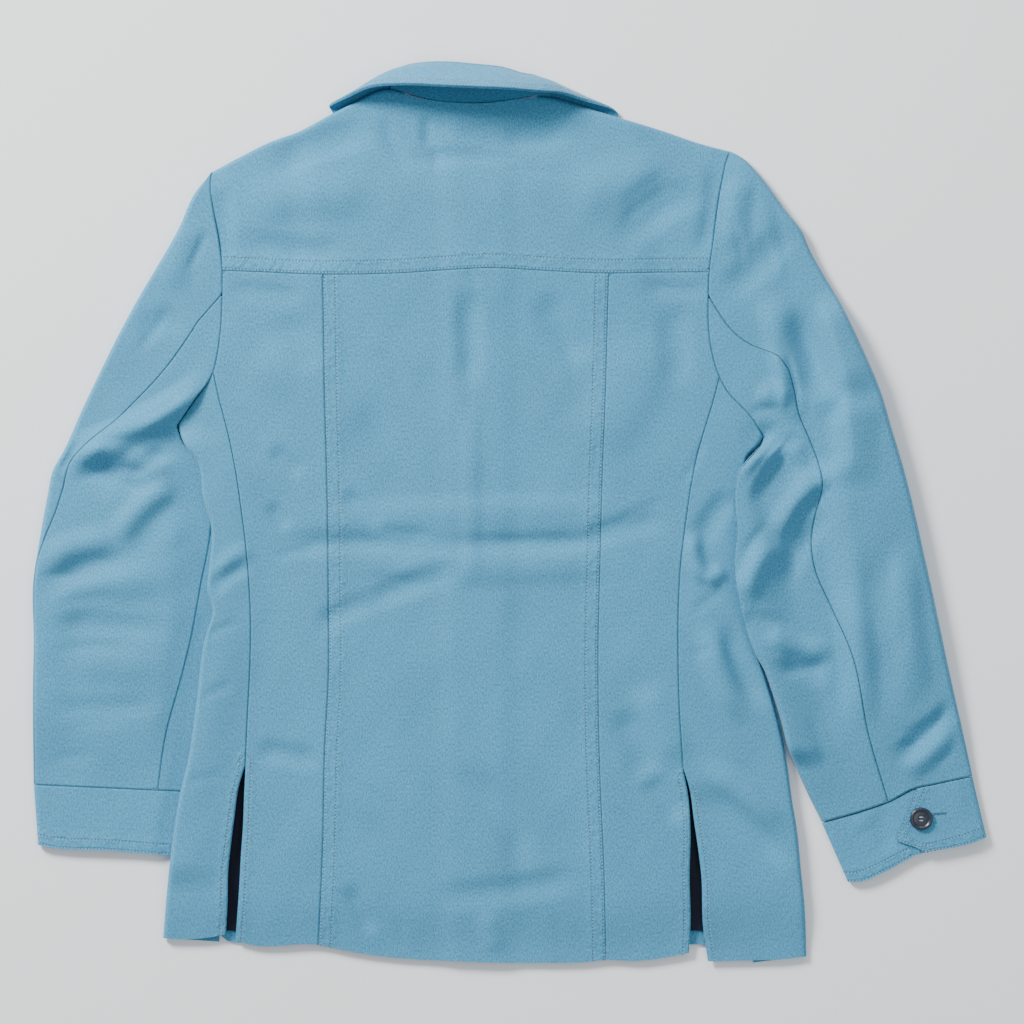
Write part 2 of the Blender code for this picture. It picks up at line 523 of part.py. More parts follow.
def close_wall(name, outer, inner, material, ring=False):
    """One closed body from the two faces of a piece of cloth."""
    rows, columns = outer.shape[:2]
    points = np.concatenate([outer.reshape(-1, 3), inner.reshape(-1, 3)])
    number = np.arange(rows * columns).reshape(rows, columns)
    if ring:
        number = np.concatenate([number, number[:, :1]], axis=1)
    shift = rows * columns
    a = number[:-1, :-1].ravel()
    b = number[:-1, 1:].ravel()
    c = number[1:, 1:].ravel()
    d = number[1:, :-1].ravel()
    faces = [np.stack([a, b, c, d], 1), np.stack([c, b, a, d], 1)[:, [0, 1, 2, 2]] + shift,
             np.stack([a, d, c], 1)[:, [0, 1, 2, 2]] + shift]
    sides = [number[0], number[-1][::-1]]
    if not ring:
        sides.append(number[:, -1])
        sides.append(number[::-1, 0])
    for side in sides:
        p = side[:-1]
        q = side[1:]
        faces.append(np.stack([q, p, p + shift, q + shift], 1))
    return finish(name, points, np.concatenate(faces), material)


def finish(name, points, faces, material):
    """Make the mesh in metres with its faces outwards, and link it."""
    second = faces[faces[:, 2] != faces[:, 3]]
    split = np.concatenate([faces[:, [0, 1, 2]], second[:, [0, 2, 3]]])
    p, q, r = (points[split[:, k]] for k in range(3))
    if np.sum(np.cross(p, q) * r) < 0:
        split = split[:, ::-1]
    mesh = bpy.data.meshes.new(name)
    mesh.from_pydata((points * MM).tolist(), [], split.tolist())
    mesh.validate()
    mesh.materials.append(material)
    item = bpy.data.objects.new(name, mesh)
    bpy.context.scene.collection.objects.link(item)
    return item


def cloth(name, colour, roughness):
    """A plain material."""
    material = bpy.data.materials.new(name)
    material.use_nodes = True
    shader = material.node_tree.nodes["Principled BSDF"]
    shader.inputs["Base Color"].default_value = (*colour, 1.0)
    shader.inputs["Roughness"].default_value = roughness
    return material


def armholes():
    """Samples of both armholes, shared by the body and the sleeves."""
    left = trace(ARMHOLE_LEFT, ARMHOLE_STOPS, ROWS_ARMHOLE)
    right = trace(ARMHOLE_RIGHT, ARMHOLE_STOPS, ROWS_ARMHOLE)
    return left, right


def shoulder_samples():
    """Samples from the left shoulder point round the neck to the right one."""
    return trace(SHOULDER_LINE, (0, 6, 12, 17), COLUMNS_SHOULDER)


def build_yoke(material):
    """Back yoke, folded over at both shoulders."""
    left, right = armholes()
    rows = ROWS_ARMHOLE[0]
    seam = trace(YOKE_SEAM, (0, 2, 7, 9), COLUMNS_BACK)
    grid = fill(shoulder_samples(), seam, left[:rows + 1], right[:rows + 1])
    grid = inset_sides(grid, ("left", "right", "bottom"))
    shares = np.ones(grid.shape[1])
    first = COLUMNS_SHOULDER[0]
    last = first + COLUMNS_SHOULDER[1]
    shares[first + 1:last] = 0.0
    outer, inner = flat_patch(grid, True, body_top, body_under, shares)
    return close_wall("back_yoke", outer, inner, material)


def back_rows():
    """Rows from the yoke seam to the hem."""
    return ROWS_ARMHOLE[1] + ROWS_SIDE + ROWS_VENT


def build_back(materials):
    """The centre and both side panels of the back."""
    left, right = armholes()
    seam = trace(YOKE_SEAM, (0, 2, 7, 9), COLUMNS_BACK)
    a, b, c = COLUMNS_BACK
    rows = back_rows()
    princess_left = evenly(PRINCESS_LEFT, rows)
    princess_right = evenly(PRINCESS_RIGHT, rows)
    hem = trace(HEM_BACK, (0, 2, 8, 11), COLUMNS_BACK)
    upper = slice(ROWS_ARMHOLE[0], ROWS_ARMHOLE[0] + ROWS_ARMHOLE[1])
    side_left = np.concatenate([
        left[upper], evenly(SIDE_SEAM_LEFT, ROWS_SIDE)[:-1], evenly(VENT_LEFT_BACK_LIP, ROWS_VENT)])
    side_right = np.concatenate([
        right[upper], evenly(SIDE_SEAM_RIGHT, ROWS_SIDE)[:-1], evenly(VENT_RIGHT_BACK_LIP, ROWS_VENT)])
    plans = (
        ("back_side_left", seam[:a + 1], hem[:a + 1], side_left, princess_left),
        ("back_centre", seam[a:a + b + 1], hem[a:a + b + 1], princess_left, princess_right),
        ("back_side_right", seam[a + b:], hem[a + b:], princess_right, side_right))
    for name, top, bottom, one, two in plans:
        grid = inset_sides(fill(top, bottom, one, two), ("top", "left", "right"))
        outer, inner = flat_patch(grid, True, body_top, body_under)
        close_wall(name, outer, inner, materials)


def build_side_panel(name, armhole, edge, seam, lip, hem, below, material):
    """A side panel, from the side seam round the folded edge to the front's seam."""
    pit = armhole[sum(ROWS_ARMHOLE[:2]):][::-1]
    inner_side = np.concatenate([evenly(seam, ROWS_SIDE)[:-1], evenly(lip, ROWS_VENT)])
    rows = ROWS_SIDE + ROWS_VENT
    grid = fill(pit, evenly(hem, ROWS_ARMHOLE[2]), evenly(edge, rows), inner_side)
    grid = inset_sides(grid, ("top", "right"))
    start = grid[:, 0]
    lead = unit(grid[:, 1] - start)
    knots = np.array(below, float)
    order = np.argsort(knots[:, 1])
    reach = np.full(rows + 1, 20.0)
    for _ in range(30):
        y = start[:, 1] + lead[:, 1] * reach
        x = np.interp(y, knots[order, 1], knots[order, 0])
        x = np.where(y < knots[-1, 1] + 6, x + np.sign(knots[-1, 0]) * 1.5, x)
        reach = 0.6 * reach + 0.4 * np.clip((x - start[:, 0]) / lead[:, 0], 0.8, 90.0)
    near_pit = 2.5 * np.exp(-np.arange(rows + 1) / 1.5)
    reach = np.maximum(reach - SEAM_GAP / 2 - 0.5 - near_pit, 0.4)
    quarter = FOLD_RADIUS * np.pi / 2
    arc = np.where(reach < FOLD_RADIUS, FOLD_RADIUS * fold_angle(reach, FOLD_RADIUS),
                   quarter + reach - FOLD_RADIUS)
    columns = []
    for mark in (2.0, 1.5, 1.0, 0.5, 0.0, -0.5, -1.0):
        if mark >= 0:
            along = np.minimum(arc, quarter) * min(mark, 1)
            along = along + np.maximum(arc - quarter, 0) * max(mark - 1, 0)
        else:
            along = np.full(rows + 1, -mark * quarter)
        bent = FOLD_RADIUS * (1 - np.cos(np.minimum(along, quarter) / FOLD_RADIUS))
        distance = bent + np.maximum(along - quarter, 0)
        angle_here = np.minimum(along / FOLD_RADIUS, np.pi / 2)
        columns.append((start + lead * distance[:, None], angle_here, mark < 0))
    for k in range(1, grid.shape[1]):
        columns.append((grid[:, k], np.full(rows + 1, np.pi / 2), True))
    points = np.stack([c[0] for c in columns], 1)
    angle = np.stack([c[1] for c in columns], 1)
    upper = np.zeros(angle.shape, bool)
    upper[:] = [c[2] for c in columns]
    inward = np.broadcast_to(lead[:, None], points.shape)
    amount = np.ones(angle.shape)
    outer, inner = two_faces(points, angle, amount, inward, upper, body_top, body_under, WALL)
    return close_wall(name, outer, inner, material)


def front_under(side):
    """Underside of a front; the right one lies inside the left one where they lap."""
    def under(points):
        low = body_under(points)
        if side == "right":
            edge = across(LAP_EDGE_LEFT, points[..., 1])
            low = low + LAP_RISE * soft((edge + 34 - points[..., 0]) / 20)
        return low
    return under


def build_front(name, side, armhole, shoulder, neck, lap, seam, hem, material):
    """A front on the underside, from the shoulder fold to the hem."""
    below = np.array(seam, float)
    one = np.concatenate([armhole, below[1:]])
    one[len(armhole) - 1] += unit(below[1] - below[0]) * 6.0
    rows = len(one) - 1
    neck_rows = 9
    two = np.concatenate([evenly(neck, neck_rows)[:-1], evenly(lap, rows - neck_rows)])
    grid = fill(shoulder, evenly(hem, len(shoulder) - 1), one, two)
    grid = inset_sides(grid, ("left",))
    shares = np.ones(grid.shape[1])
    outer, inner = flat_patch(grid, False, body_top, front_under(side), shares)
    return close_wall(name, outer, inner, material)


def sleeve_rows(side):
    """Inner and outer ends of a sleeve's rows, from the shoulder point to the cuff."""
    left, right = armholes()
    count = sum(ROWS_ARMHOLE)
    if side == "left":
        lower = evenly(SLEEVE_INNER_LEFT, ROWS_SLEEVE)[1:]
        inner = np.concatenate([left, lower])
        y = inner[:, 1] - 4.0 * np.exp(-np.arange(len(inner)) / 2.0)
        share = soft((77 - inner[:, 1]) / (77 + 246.1))
        y = y + 6.2 * share
        outer = np.stack([across(SLEEVE_OUTER_LEFT, y), y], 1)
    else:
        lower = evenly(SLEEVE_INNER_RIGHT, ROWS_SLEEVE)[1:]
        inner = np.concatenate([right, lower])
        tilt = np.array(ROW_TILT_RIGHT)
        y = inner[:, 1] + spline(tilt[:, 0], tilt[:, 1], inner[:, 1])
        outer = np.stack([across(SLEEVE_OUTER_RIGHT, y), y], 1)
    shifted = inset(inner[:count + 1], outer[:count + 1], SEAM_GAP / 2)
    inner = np.concatenate([shifted, inner[count + 1:]])
    return inner, outer


def row_points(inner, outer, share, side):
    """Points on the rows at a share from the inner to the outer end."""
    points = inner[:, None] + share[..., None] * (outer - inner)[:, None]
    if side == "right":
        bow = np.array(CUFF_BOW_RIGHT)
        weight = soft((-150 - inner[:, 1]) / 123)[:, None]
        points[..., 1] += weight * spline(bow[:, 0], bow[:, 1], share)
    return points


def seam_share(inner, outer, table, side):
    """Share along each row where a seam crosses it."""
    share = np.broadcast_to(np.linspace(0, 1, 401), (len(inner), 401))
    points = row_points(inner, outer, share, side)
    ahead = points[..., 0] - across(table, points[..., 1])
    found = np.ones(len(inner))
    for k in range(len(inner)):
        sign = ahead[k] * (-1 if side == "left" else 1)
        crossed = np.nonzero((sign[:-1] <= 0) & (sign[1:] > 0))[0]
        if len(crossed):
            j = crossed[0]
            found[k] = (j + sign[j] / (sign[j] - sign[j + 1])) / 400
    return found


def sleeve_wall(inner, outer, distance, upper, side, top, under):
    """Faces of sleeve cloth at distances in from the inner end of each row."""
    wide = np.linalg.norm(outer - inner, axis=1)
    lead = unit(outer - inner)
    points = row_points(inner, outer, distance / wide[:, None], side)
    radius = np.minimum(FOLD_RADIUS, 0.4 * wide)[:, None]
    count = sum(ROWS_ARMHOLE)
    number = np.arange(len(inner))
    held = np.clip((number - count) / 2, 0, 1)[:, None]
    at_inner = distance < wide[:, None] / 2
    gone = np.where(at_inner, distance, wide[:, None] - distance)
    angle = fold_angle(gone, radius)
    amount = np.where(at_inner, held, 1.0)
    inward = np.where(at_inner[..., None], lead[:, None], -lead[:, None])
    return two_faces(points, angle, amount, inward, upper, top, under, WALL)


def arc_distance(arc, radius):
    """Distance in from a folded edge for a length measured round it."""
    quarter = radius * np.pi / 2
    return np.where(arc < quarter, radius * (1 - np.cos(arc / radius)), radius + arc - quarter)


def sleeve_plan(side):
    """Rows, widths and seam positions of a sleeve."""
    inner, outer = sleeve_rows(side)
    wide = np.linalg.norm(outer - inner, axis=1)
    radius = np.minimum(FOLD_RADIUS, 0.4 * wide)
    first = ROWS_ARMHOLE[0] + 1
    table = HIND_SEAM_LEFT if side == "left" else HIND_SEAM_RIGHT
    hind = seam_share(inner, outer, table, side) * wide
    number = np.arange(len(inner))
    hind = np.where(number < first, 0.0, hind)
    hind[first] = 1.2
    hind = np.minimum(hind, wide - 0.4)
    hind = np.maximum(hind, np.where(number < first, 0.0, 1.2))
    fore = np.full(len(inner), 0.0)
    if side == "left":
        count = sum(ROWS_ARMHOLE)
        gap = across(SLEEVE_INNER_LEFT, inner[:, 1]) - across(FORE_SEAM_LEFT, inner[:, 1])
        fore = np.maximum(gap, 0.8 * (number - count - 2))
        fore = np.where(number > count + 2, np.maximum(fore, 0.0), 0.0)
    return inner, outer, wide, radius, first, hind, fore


def build_upper_sleeve(side, top, under, material):
    """Upper sleeve: the top outside, round the outer fold and over the whole underside."""
    inner, outer, wide, radius, first, hind, fore = sleeve_plan(side)
    number = np.arange(len(inner))
    half = SEAM_GAP / 2
    quarter = radius * np.pi / 2
    open_top = wide - hind - np.where(number < first, 0.0, half * 1.5)
    arc = np.where(open_top < radius, radius * fold_angle(open_top, radius), quarter + open_top - radius)
    columns = []
    for mark in (2.0, 1.84, 1.67, 1.5, 1.33, 1.16, 1.0, 0.5, 0.0):
        along = np.minimum(arc, quarter) * min(mark, 1) + np.maximum(arc - quarter, 0) * max(mark - 1, 0)
        columns.append((wide - arc_distance(along, radius), True))
    for mark in (0.5, 1.0):
        columns.append((wide - arc_distance(mark * quarter, radius), False))
    for mark in (0.33, 0.62) if side == "left" else (0.33, 0.62, 0.78, 0.9):
        columns.append((wide - radius - mark * (wide - 2 * radius), False))
    for mark in (1.0, 0.5):
        columns.append((arc_distance(mark * quarter, radius), False))
    count = sum(ROWS_ARMHOLE)
    if side == "right":
        columns.append((np.where(number > count, 0.004, 0.0), False))
    else:
        arc_fore = np.where(fore < radius, radius * fold_angle(fore, radius), quarter + fore - radius)
        columns.append((np.zeros(len(inner)), False))
        for mark in (0.5, 1.0, 2.0):
            along = np.minimum(arc_fore, quarter) * min(mark, 1)
            along = along + np.maximum(arc_fore - quarter, 0) * max(mark - 1, 0)
            columns.append((arc_distance(along, radius), True))
    distance = np.stack([c[0] for c in columns], 1)
    upper = np.zeros(distance.shape, bool)
    upper[:] = [c[1] for c in columns]
    if side == "left":
        plain = slice(None, count + 3)
        upper[plain, -3:] = False
        share = np.array((1.0, 0.78, 0.58, 0.4, 0.22, 0.01))
        distance[plain, -6:] = arc_distance(quarter[plain, None] * share, radius[plain, None])
    a, b = sleeve_wall(inner, outer, distance, upper, side, top, under)
    return close_wall(f"sleeve_upper_{side}", a, b, material)


def build_under_sleeve(side, top, under, material):
    """Under sleeve, a patch of the top between the hind and the inner seam."""
    inner, outer, wide, radius, first, hind, fore = sleeve_plan(side)
    half = SEAM_GAP / 2
    quarter = radius * np.pi / 2
    number = np.arange(len(inner))
    count = sum(ROWS_ARMHOLE)
    start = np.where(number > count, fore + np.where(number > count + 4, 0.35, 1.4), 0.0)
    finish_at = hind - half * 1.5
    arc = np.where(start < radius, radius * fold_angle(start, radius), quarter + start - radius)
    room = np.maximum(finish_at - start, 0.2)
    ramp = np.maximum(quarter - arc, 1.5)
    columns = []
    for mark in (0.0, 0.5, 1.0):
        near = arc_distance(arc + ramp * mark, radius)
        columns.append(np.minimum(near, start + room * 0.3 * mark))
    left_over = wide - finish_at
    arc_end = np.where(left_over < radius, radius * fold_angle(left_over, radius),
                       quarter + left_over - radius)
    ramp_end = np.maximum(quarter - arc_end, 1.5)
    far = []
    for mark in (1.0, 0.5, 0.0):
        near = wide - arc_distance(arc_end + ramp_end * mark, radius)
        far.append(np.maximum(near, finish_at - room * 0.3 * mark))
    inside = columns[-1]
    for mark in (0.2, 0.4, 0.6, 0.8):
        columns.append(inside + (far[0] - inside) * mark)
    distance = np.stack(columns + far, 1)
    upper = np.ones(distance.shape, bool)
    a, b = sleeve_wall(inner[first:], outer[first:], distance[first:], upper[first:], side, top, under)
    return close_wall(f"sleeve_under_{side}", a, b, material)


def cuff_ends(side, count):
    """Inner and outer ends of a cuff's rows and its seam and end lines."""
    inner, outer = sleeve_rows(side)
    share = np.linspace(0, 1, 41)
    seam = row_points(inner[-1:], outer[-1:], share[None], side)[0]
    seam = seam - np.array((0.0, SEAM_GAP if side == "left" else 3 * SEAM_GAP))
    end = evenly(CUFF_END_LEFT if side == "left" else CUFF_END_RIGHT, 40)
    t = np.linspace(0, 1, count + 1)[:, None, None]
    return seam[None] * (1 - t) + end[None] * t


def line_at(rows, distance):
    """Points on each row of a cuff at a distance from its inner end."""
    points = np.empty(distance.shape + (2,))
    for k, row in enumerate(rows):
        length = chord_length(row)
        for axis in range(2):
            points[k, :, axis] = np.interp(distance[k], length, row[:, axis])
    return points


def cuff_top(points):
    """Upper face of the left cuff, pressed thin below the body."""
    edge = across(EDGE_LEFT, points[..., 1])
    pressed = soft((points[..., 0] - edge + 18) / 14) * lift_share_left(points[..., 1])
    return 6.6 - (6.6 - UNDER_DEPTH) * pressed


def build_left_cuff(material):
    """Left cuff, a closed band."""
    rows = cuff_ends("left", ROWS_CUFF)
    wide = np.array([chord_length(row)[-1] for row in rows])
    quarter = FOLD_RADIUS * np.pi / 2
    columns = []
    for mark in (0.0, 0.33, 0.67, 1.0):
        columns.append((np.full(len(rows), arc_distance(mark * quarter, FOLD_RADIUS)), True))
    for mark in (1 / 7, 2 / 7, 3 / 7, 4 / 7, 5 / 7, 6 / 7):
        columns.append((FOLD_RADIUS + mark * (wide - 2 * FOLD_RADIUS), True))
    for mark in (1.0, 0.67, 0.33, 0.0):
        columns.append((wide - arc_distance(mark * quarter, FOLD_RADIUS), True))
    for mark in (0.33, 0.67, 1.0):
        columns.append((wide - arc_distance(mark * quarter, FOLD_RADIUS), False))
    for mark in (0.75, 0.5, 0.25):
        columns.append((FOLD_RADIUS + mark * (wide - 2 * FOLD_RADIUS), False))
    for mark in (1.0, 0.67, 0.33):
        columns.append((np.full(len(rows), arc_distance(mark * quarter, FOLD_RADIUS)), False))
    outer, inner = cuff_faces(rows, wide, columns, cuff_top, left_sleeve_under)
    return close_wall("cuff_left", outer, inner, material, ring=True)


def cuff_faces(rows, wide, columns, top, under, extra=None):
    """Faces of a cuff from distances along its rows."""
    distance = np.stack([c[0] for c in columns], 1)
    upper = np.zeros(distance.shape, bool)
    upper[:] = [c[1] for c in columns]
    points = line_at(rows, distance)
    lead = unit(rows[:, -1] - rows[:, 0])
    at_inner = distance < wide[:, None] / 2
    gone = np.where(at_inner, distance, wide[:, None] - distance)
    angle = fold_angle(gone, FOLD_RADIUS)
    if extra is not None:
        angle = np.where(np.isnan(extra), angle, np.pi / 2)
    inward = np.where(at_inner[..., None], lead[:, None], -lead[:, None])
    amount = np.ones(distance.shape)
    outer, inner = two_faces(points, angle, amount, inward, upper, top, under, CUFF_WALL)
    if extra is not None:
        lift = np.where(np.isnan(extra), 0.0, extra)
        outer[..., 2] += lift
        inner[..., 2] += lift
    return outer, inner


def right_cuff_top(points):
    """Upper face of the right cuff's under end."""
    return np.full(points.shape[:-1], 5.6)


def build_right_cuff(material):
    """Right cuff, an open band whose pointed end lies over its plain end."""
    rows = cuff_ends("right", ROWS_CUFF * 2)
    wide = np.array([chord_length(row)[-1] for row in rows])
    share = np.linspace(0, 1, len(rows))
    point = np.array(TAB_POINT)
    tip_x = np.interp(share, point[:, 0], point[:, 1])
    tip = np.array([np.interp(x, row[:, 0], chord_length(row)) for x, row in zip(tip_x, rows)])
    quarter = FOLD_RADIUS * np.pi / 2
    hidden = np.minimum(tip + CUFF_OVERLAP, wide - 14)
    columns = []
    for mark in (1.0, 0.8, 0.6, 0.4, 0.2):
        columns.append((FOLD_RADIUS + mark * (hidden - FOLD_RADIUS), True, 0.0))
    for mark in (1.0, 0.67, 0.33, 0.0):
        columns.append((np.full(len(rows), arc_distance(mark * quarter, FOLD_RADIUS)), True, 0.0))
    for mark in (0.33, 0.67, 1.0):
        columns.append((np.full(len(rows), arc_distance(mark * quarter, FOLD_RADIUS)), False, 0.0))
    for mark in (0.25, 0.5, 0.75):
        columns.append((FOLD_RADIUS + mark * (wide - 2 * FOLD_RADIUS), False, 0.0))
    for mark in (1.0, 0.67, 0.33, 0.0):
        columns.append((wide - arc_distance(mark * quarter, FOLD_RADIUS), False, 0.0))
    for mark in (0.33, 0.67, 1.0):
        columns.append((wide - arc_distance(mark * quarter, FOLD_RADIUS), True, mark * 0.9))
    flat = wide - FOLD_RADIUS
    for mark in (0.2, 0.4, 0.6, 0.8, 1.0):
        lift = CUFF_WALL + LAYER_GAP
        columns.append((flat + mark * (tip - flat), True, 0.9 + (lift - 0.9) * soft(mark / 0.2)))
    outer, inner = cuff_faces(rows, wide, [c[:2] for c in columns], right_cuff_top, left_sleeve_under)
    lift = np.array([c[2] for c in columns])
    outer[..., 2] += lift
    inner[..., 2] += lift
    return close_wall("cuff_right", outer, inner, material)


def build_button(material):
    """Cuff button: a disc with a raised rim and a sunken middle."""
    profile = np.array((
        # share of the radius, share of the height above the cuff
        (0.0, 0.0), (0.75, 0.0), (0.94, 0.22), (1.0, 0.5), (0.95, 0.84), (0.84, 1.0), (0.72, 0.84),
        (0.62, 0.66), (0.3, 0.59), (0.0, 0.59))) * (BUTTON_RADIUS, BUTTON_HEIGHT)
    centre = np.array((362.9, -270.0))
    base = 5.6 + CUFF_WALL + LAYER_GAP + 0.35
    sides = 24
    turn = np.arange(sides) * 2 * np.pi / sides
    points = [(centre[0], centre[1], base)]
    faces = []
    rings = profile[1:-1]
    for radius, height in rings:
        for t in turn:
            points.append((centre[0] + radius * np.cos(t), centre[1] + radius * np.sin(t), base + height))
    points.append((centre[0], centre[1], base + profile[-1][1]))
    top = len(points) - 1
    for k in range(sides):
        after = (k + 1) % sides
        faces.append((0, 1 + after, 1 + k))
        for ring in range(len(rings) - 1):
            a = 1 + ring * sides
            b = a + sides
            faces.append((a + k, a + after, b + after))
            faces.append((a + k, b + after, b + k))
        a = 1 + (len(rings) - 1) * sides
        faces.append((a + k, a + after, top))
    mesh = bpy.data.meshes.new("cuff_button_right")
    mesh.from_pydata((np.array(points) * MM).tolist(), [], faces)
    mesh.materials.append(material)
    item = bpy.data.objects.new("cuff_button_right", mesh)
    bpy.context.scene.collection.objects.link(item)
    return item


def collar_face(offset):
    """A face of the collar at an offset from its middle: columns from neck seam to leaf edge."""
    table = np.array(COLLAR_ROWS, float)
    middle = (table[:, 3:6] + table[:, 6:9]) / 2
    length = chord_length(middle)
    where = np.interp(np.linspace(0, 1, ROWS_COLLAR + 1), np.linspace(0, 1, len(table)), length)
    rows = np.stack([spline(length, table[:, k], where) for k in range(table.shape[1])], 1)
    neck = rows[:, 0:3]
    roll = rows[:, 3:6]
    leaf = rows[:, 6:9]
    flat = rows[:, 9:10]
    to_neck = unit(neck - roll)
    to_leaf = unit(leaf - roll)
    ahead = -unit(to_neck + to_leaf)
    aside = unit(flat * np.array((0.0, 0.0, 1.0)) + (1 - flat) * unit(to_neck - to_leaf))
    aside = unit(aside - ahead * np.sum(aside * ahead, axis=1, keepdims=True))
    centre = roll - ahead * ROLL_RADIUS
    clear = unit(aside - to_neck * np.sum(aside * to_neck, axis=1, keepdims=True)) * offset
    beyond = unit(to_leaf * np.sum(aside * to_leaf, axis=1, keepdims=True) - aside) * offset
    bulge = beyond / offset * rows[:, 10:11]
    radius = ROLL_RADIUS + offset
    columns = [neck + clear, (neck + centre + aside * ROLL_RADIUS) / 2 + clear]
    for turn in (0.0, 60.0, 120.0, 180.0):
        side = np.cos(np.radians(turn)) * radius
        columns.append(centre + aside * side + ahead * radius * np.sin(np.radians(turn)))
    last = centre - aside * ROLL_RADIUS
    columns.append(last + (leaf - last) * 0.33 + bulge * 0.9 + beyond)
    columns.append(last + (leaf - last) * 0.67 + bulge * 0.8 + beyond)
    columns.append(leaf + beyond)
    return np.stack(columns, 1)


def build_collar(material_upper, material_under):
    """Both plies of the collar."""
    plies = (
        # name, offset of the near face, first column, material
        ("upper_collar", 0.15, 3, material_upper),
        ("under_collar", -0.15, 0, material_under))
    for name, near, first, material in plies:
        outer = collar_face(near)[:, first:]
        inner = collar_face(near + np.sign(near) * COLLAR_PLY)[:, first:]
        outer[..., 2] = np.maximum(outer[..., 2], 0.0)
        inner[..., 2] = np.maximum(inner[..., 2], 0.0)
        close_wall(name, outer, inner, material)


def build_vent_lining(name, outer_lip, inner_lip, material):
    """Lining that shows inside a vent, lying on the front's inner face."""
    rows = 5
    sign = 1.0 if inner_lip[-1][0] > outer_lip[-1][0] else -1.0
    y = np.linspace(-216.0, -369.0, rows + 1)
    x_one = across(outer_lip, y) - sign * 9.0
    x_two = across(inner_lip, y) + sign * 9.0
    share = np.linspace(0, 1, 4)[None]
    x = x_one[:, None] * (1 - share) + x_two[:, None] * share
    points = np.dstack([x, np.broadcast_to(y[:, None], x.shape)])
    low = body_under(points) + WALL + 0.35
    outer = np.dstack([points, low + LINING_WALL])
    inner = np.dstack([points, low])
    return close_wall(name, outer, inner, material)


def main():
    for item in list(bpy.data.objects):
        bpy.data.objects.remove(item, do_unlink=True)
    blue = cloth("gabardine_blue", (0.206, 0.418, 0.552), 0.8)
    shade = cloth("gabardine_blue_under_collar", (0.16, 0.33, 0.45), 0.85)
    navy = cloth("lining_navy", (0.004, 0.008, 0.022), 0.5)
    dark = cloth("button_navy", (0.02, 0.035, 0.06), 0.35)
    left, right = armholes()
    shoulder = shoulder_samples()
    build_yoke(blue)
    build_back(blue)
    build_side_panel("side_panel_left", left, EDGE_LEFT, SIDE_SEAM_LEFT, VENT_LEFT_SIDE_LIP,
                     HEM_LEFT, FRONT_SEAM_LEFT, blue)
    build_side_panel("side_panel_right", right, EDGE_RIGHT, SIDE_SEAM_RIGHT, VENT_RIGHT_SIDE_LIP,
                     HEM_RIGHT, FRONT_SEAM_RIGHT, blue)
    first = COLUMNS_SHOULDER[0]
    last = first + COLUMNS_SHOULDER[1]
    build_front("front_left", "left", left, shoulder[:first + 1], NECK_FRONT_LEFT,
                LAP_EDGE_LEFT, FRONT_SEAM_LEFT, HEM_FRONT_LEFT, blue)
    build_front("front_right", "right", right, shoulder[last:][::-1], NECK_FRONT_RIGHT,
                LAP_EDGE_RIGHT, FRONT_SEAM_RIGHT, HEM_FRONT_RIGHT, blue)
    build_upper_sleeve("left", left_sleeve_top, left_sleeve_under, blue)
    build_under_sleeve("left", left_sleeve_top, left_sleeve_under, blue)
    build_upper_sleeve("right", right_sleeve_top, right_sleeve_under, blue)
    build_under_sleeve("right", right_sleeve_top, right_sleeve_under, blue)
    build_left_cuff(blue)
    build_right_cuff(blue)
    build_button(dark)
    build_collar(blue, shade)
    build_vent_lining("vent_lining_left", VENT_LEFT_SIDE_LIP, VENT_LEFT_BACK_LIP, navy)
    build_vent_lining("vent_lining_right", VENT_RIGHT_SIDE_LIP, VENT_RIGHT_BACK_LIP, navy)


main()
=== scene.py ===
"""Looks of the leisure suit jacket that lies face down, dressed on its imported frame.

Tables and working sizes are in millimetres; a finished piece's mesh is in metres. X runs to
the right, Y towards the collar and Z up from the surface that the jacket lies on.
"""

import bpy
import numpy as np
from mathutils import Matrix


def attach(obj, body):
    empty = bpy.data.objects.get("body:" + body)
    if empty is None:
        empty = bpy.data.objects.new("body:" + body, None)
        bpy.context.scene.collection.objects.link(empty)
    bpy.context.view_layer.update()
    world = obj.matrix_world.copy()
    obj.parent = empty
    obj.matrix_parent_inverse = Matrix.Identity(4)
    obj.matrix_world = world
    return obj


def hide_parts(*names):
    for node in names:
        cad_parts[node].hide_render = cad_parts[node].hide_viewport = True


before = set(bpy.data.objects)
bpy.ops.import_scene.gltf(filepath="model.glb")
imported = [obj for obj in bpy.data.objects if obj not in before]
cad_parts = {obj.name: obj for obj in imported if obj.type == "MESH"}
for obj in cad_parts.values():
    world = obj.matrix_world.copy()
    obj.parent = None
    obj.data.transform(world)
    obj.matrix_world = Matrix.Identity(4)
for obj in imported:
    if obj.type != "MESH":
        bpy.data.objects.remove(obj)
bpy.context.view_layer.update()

bl_info = {
    "name": "Leisure suit jacket, laid flat",
    "version": (1, 0, 0),
    "blender": (4, 5, 0),
    "location": "3D View > Sidebar > Jacket",
    "description": "Builds the cloth, stitching, button and studio of a jacket laid face down",
    "category": "Object",
}

MM = 0.001

# Driving sizes, as in the part
WALL = 1.6
CUFF_WALL = 1.7
LINING_WALL = 1.0
COLLAR_PLY = 1.0
ROLL_RADIUS = 1.55
SEAM_GAP = 0.3
LAYER_GAP = 0.4
DEPTH = 6.4
UNDER_DEPTH = 4.4
SLEEVE_LIFT = 4.9
COLLAR_LIFT = 2.9
CUFF_DEPTH_LEFT = 6.6
CUFF_DEPTH_RIGHT = 5.6
TAB_TURN_RISE = 0.9
LAP_DEPTH = 2.7
LAP_RISE = 2.5
FOLD_RADIUS = 4.5
CUFF_OVERLAP = 27.0
BUTTON_CENTRE = (362.9, -270.0)
BUTTON_RADIUS = 10.0
BUTTON_BASE = 8.05

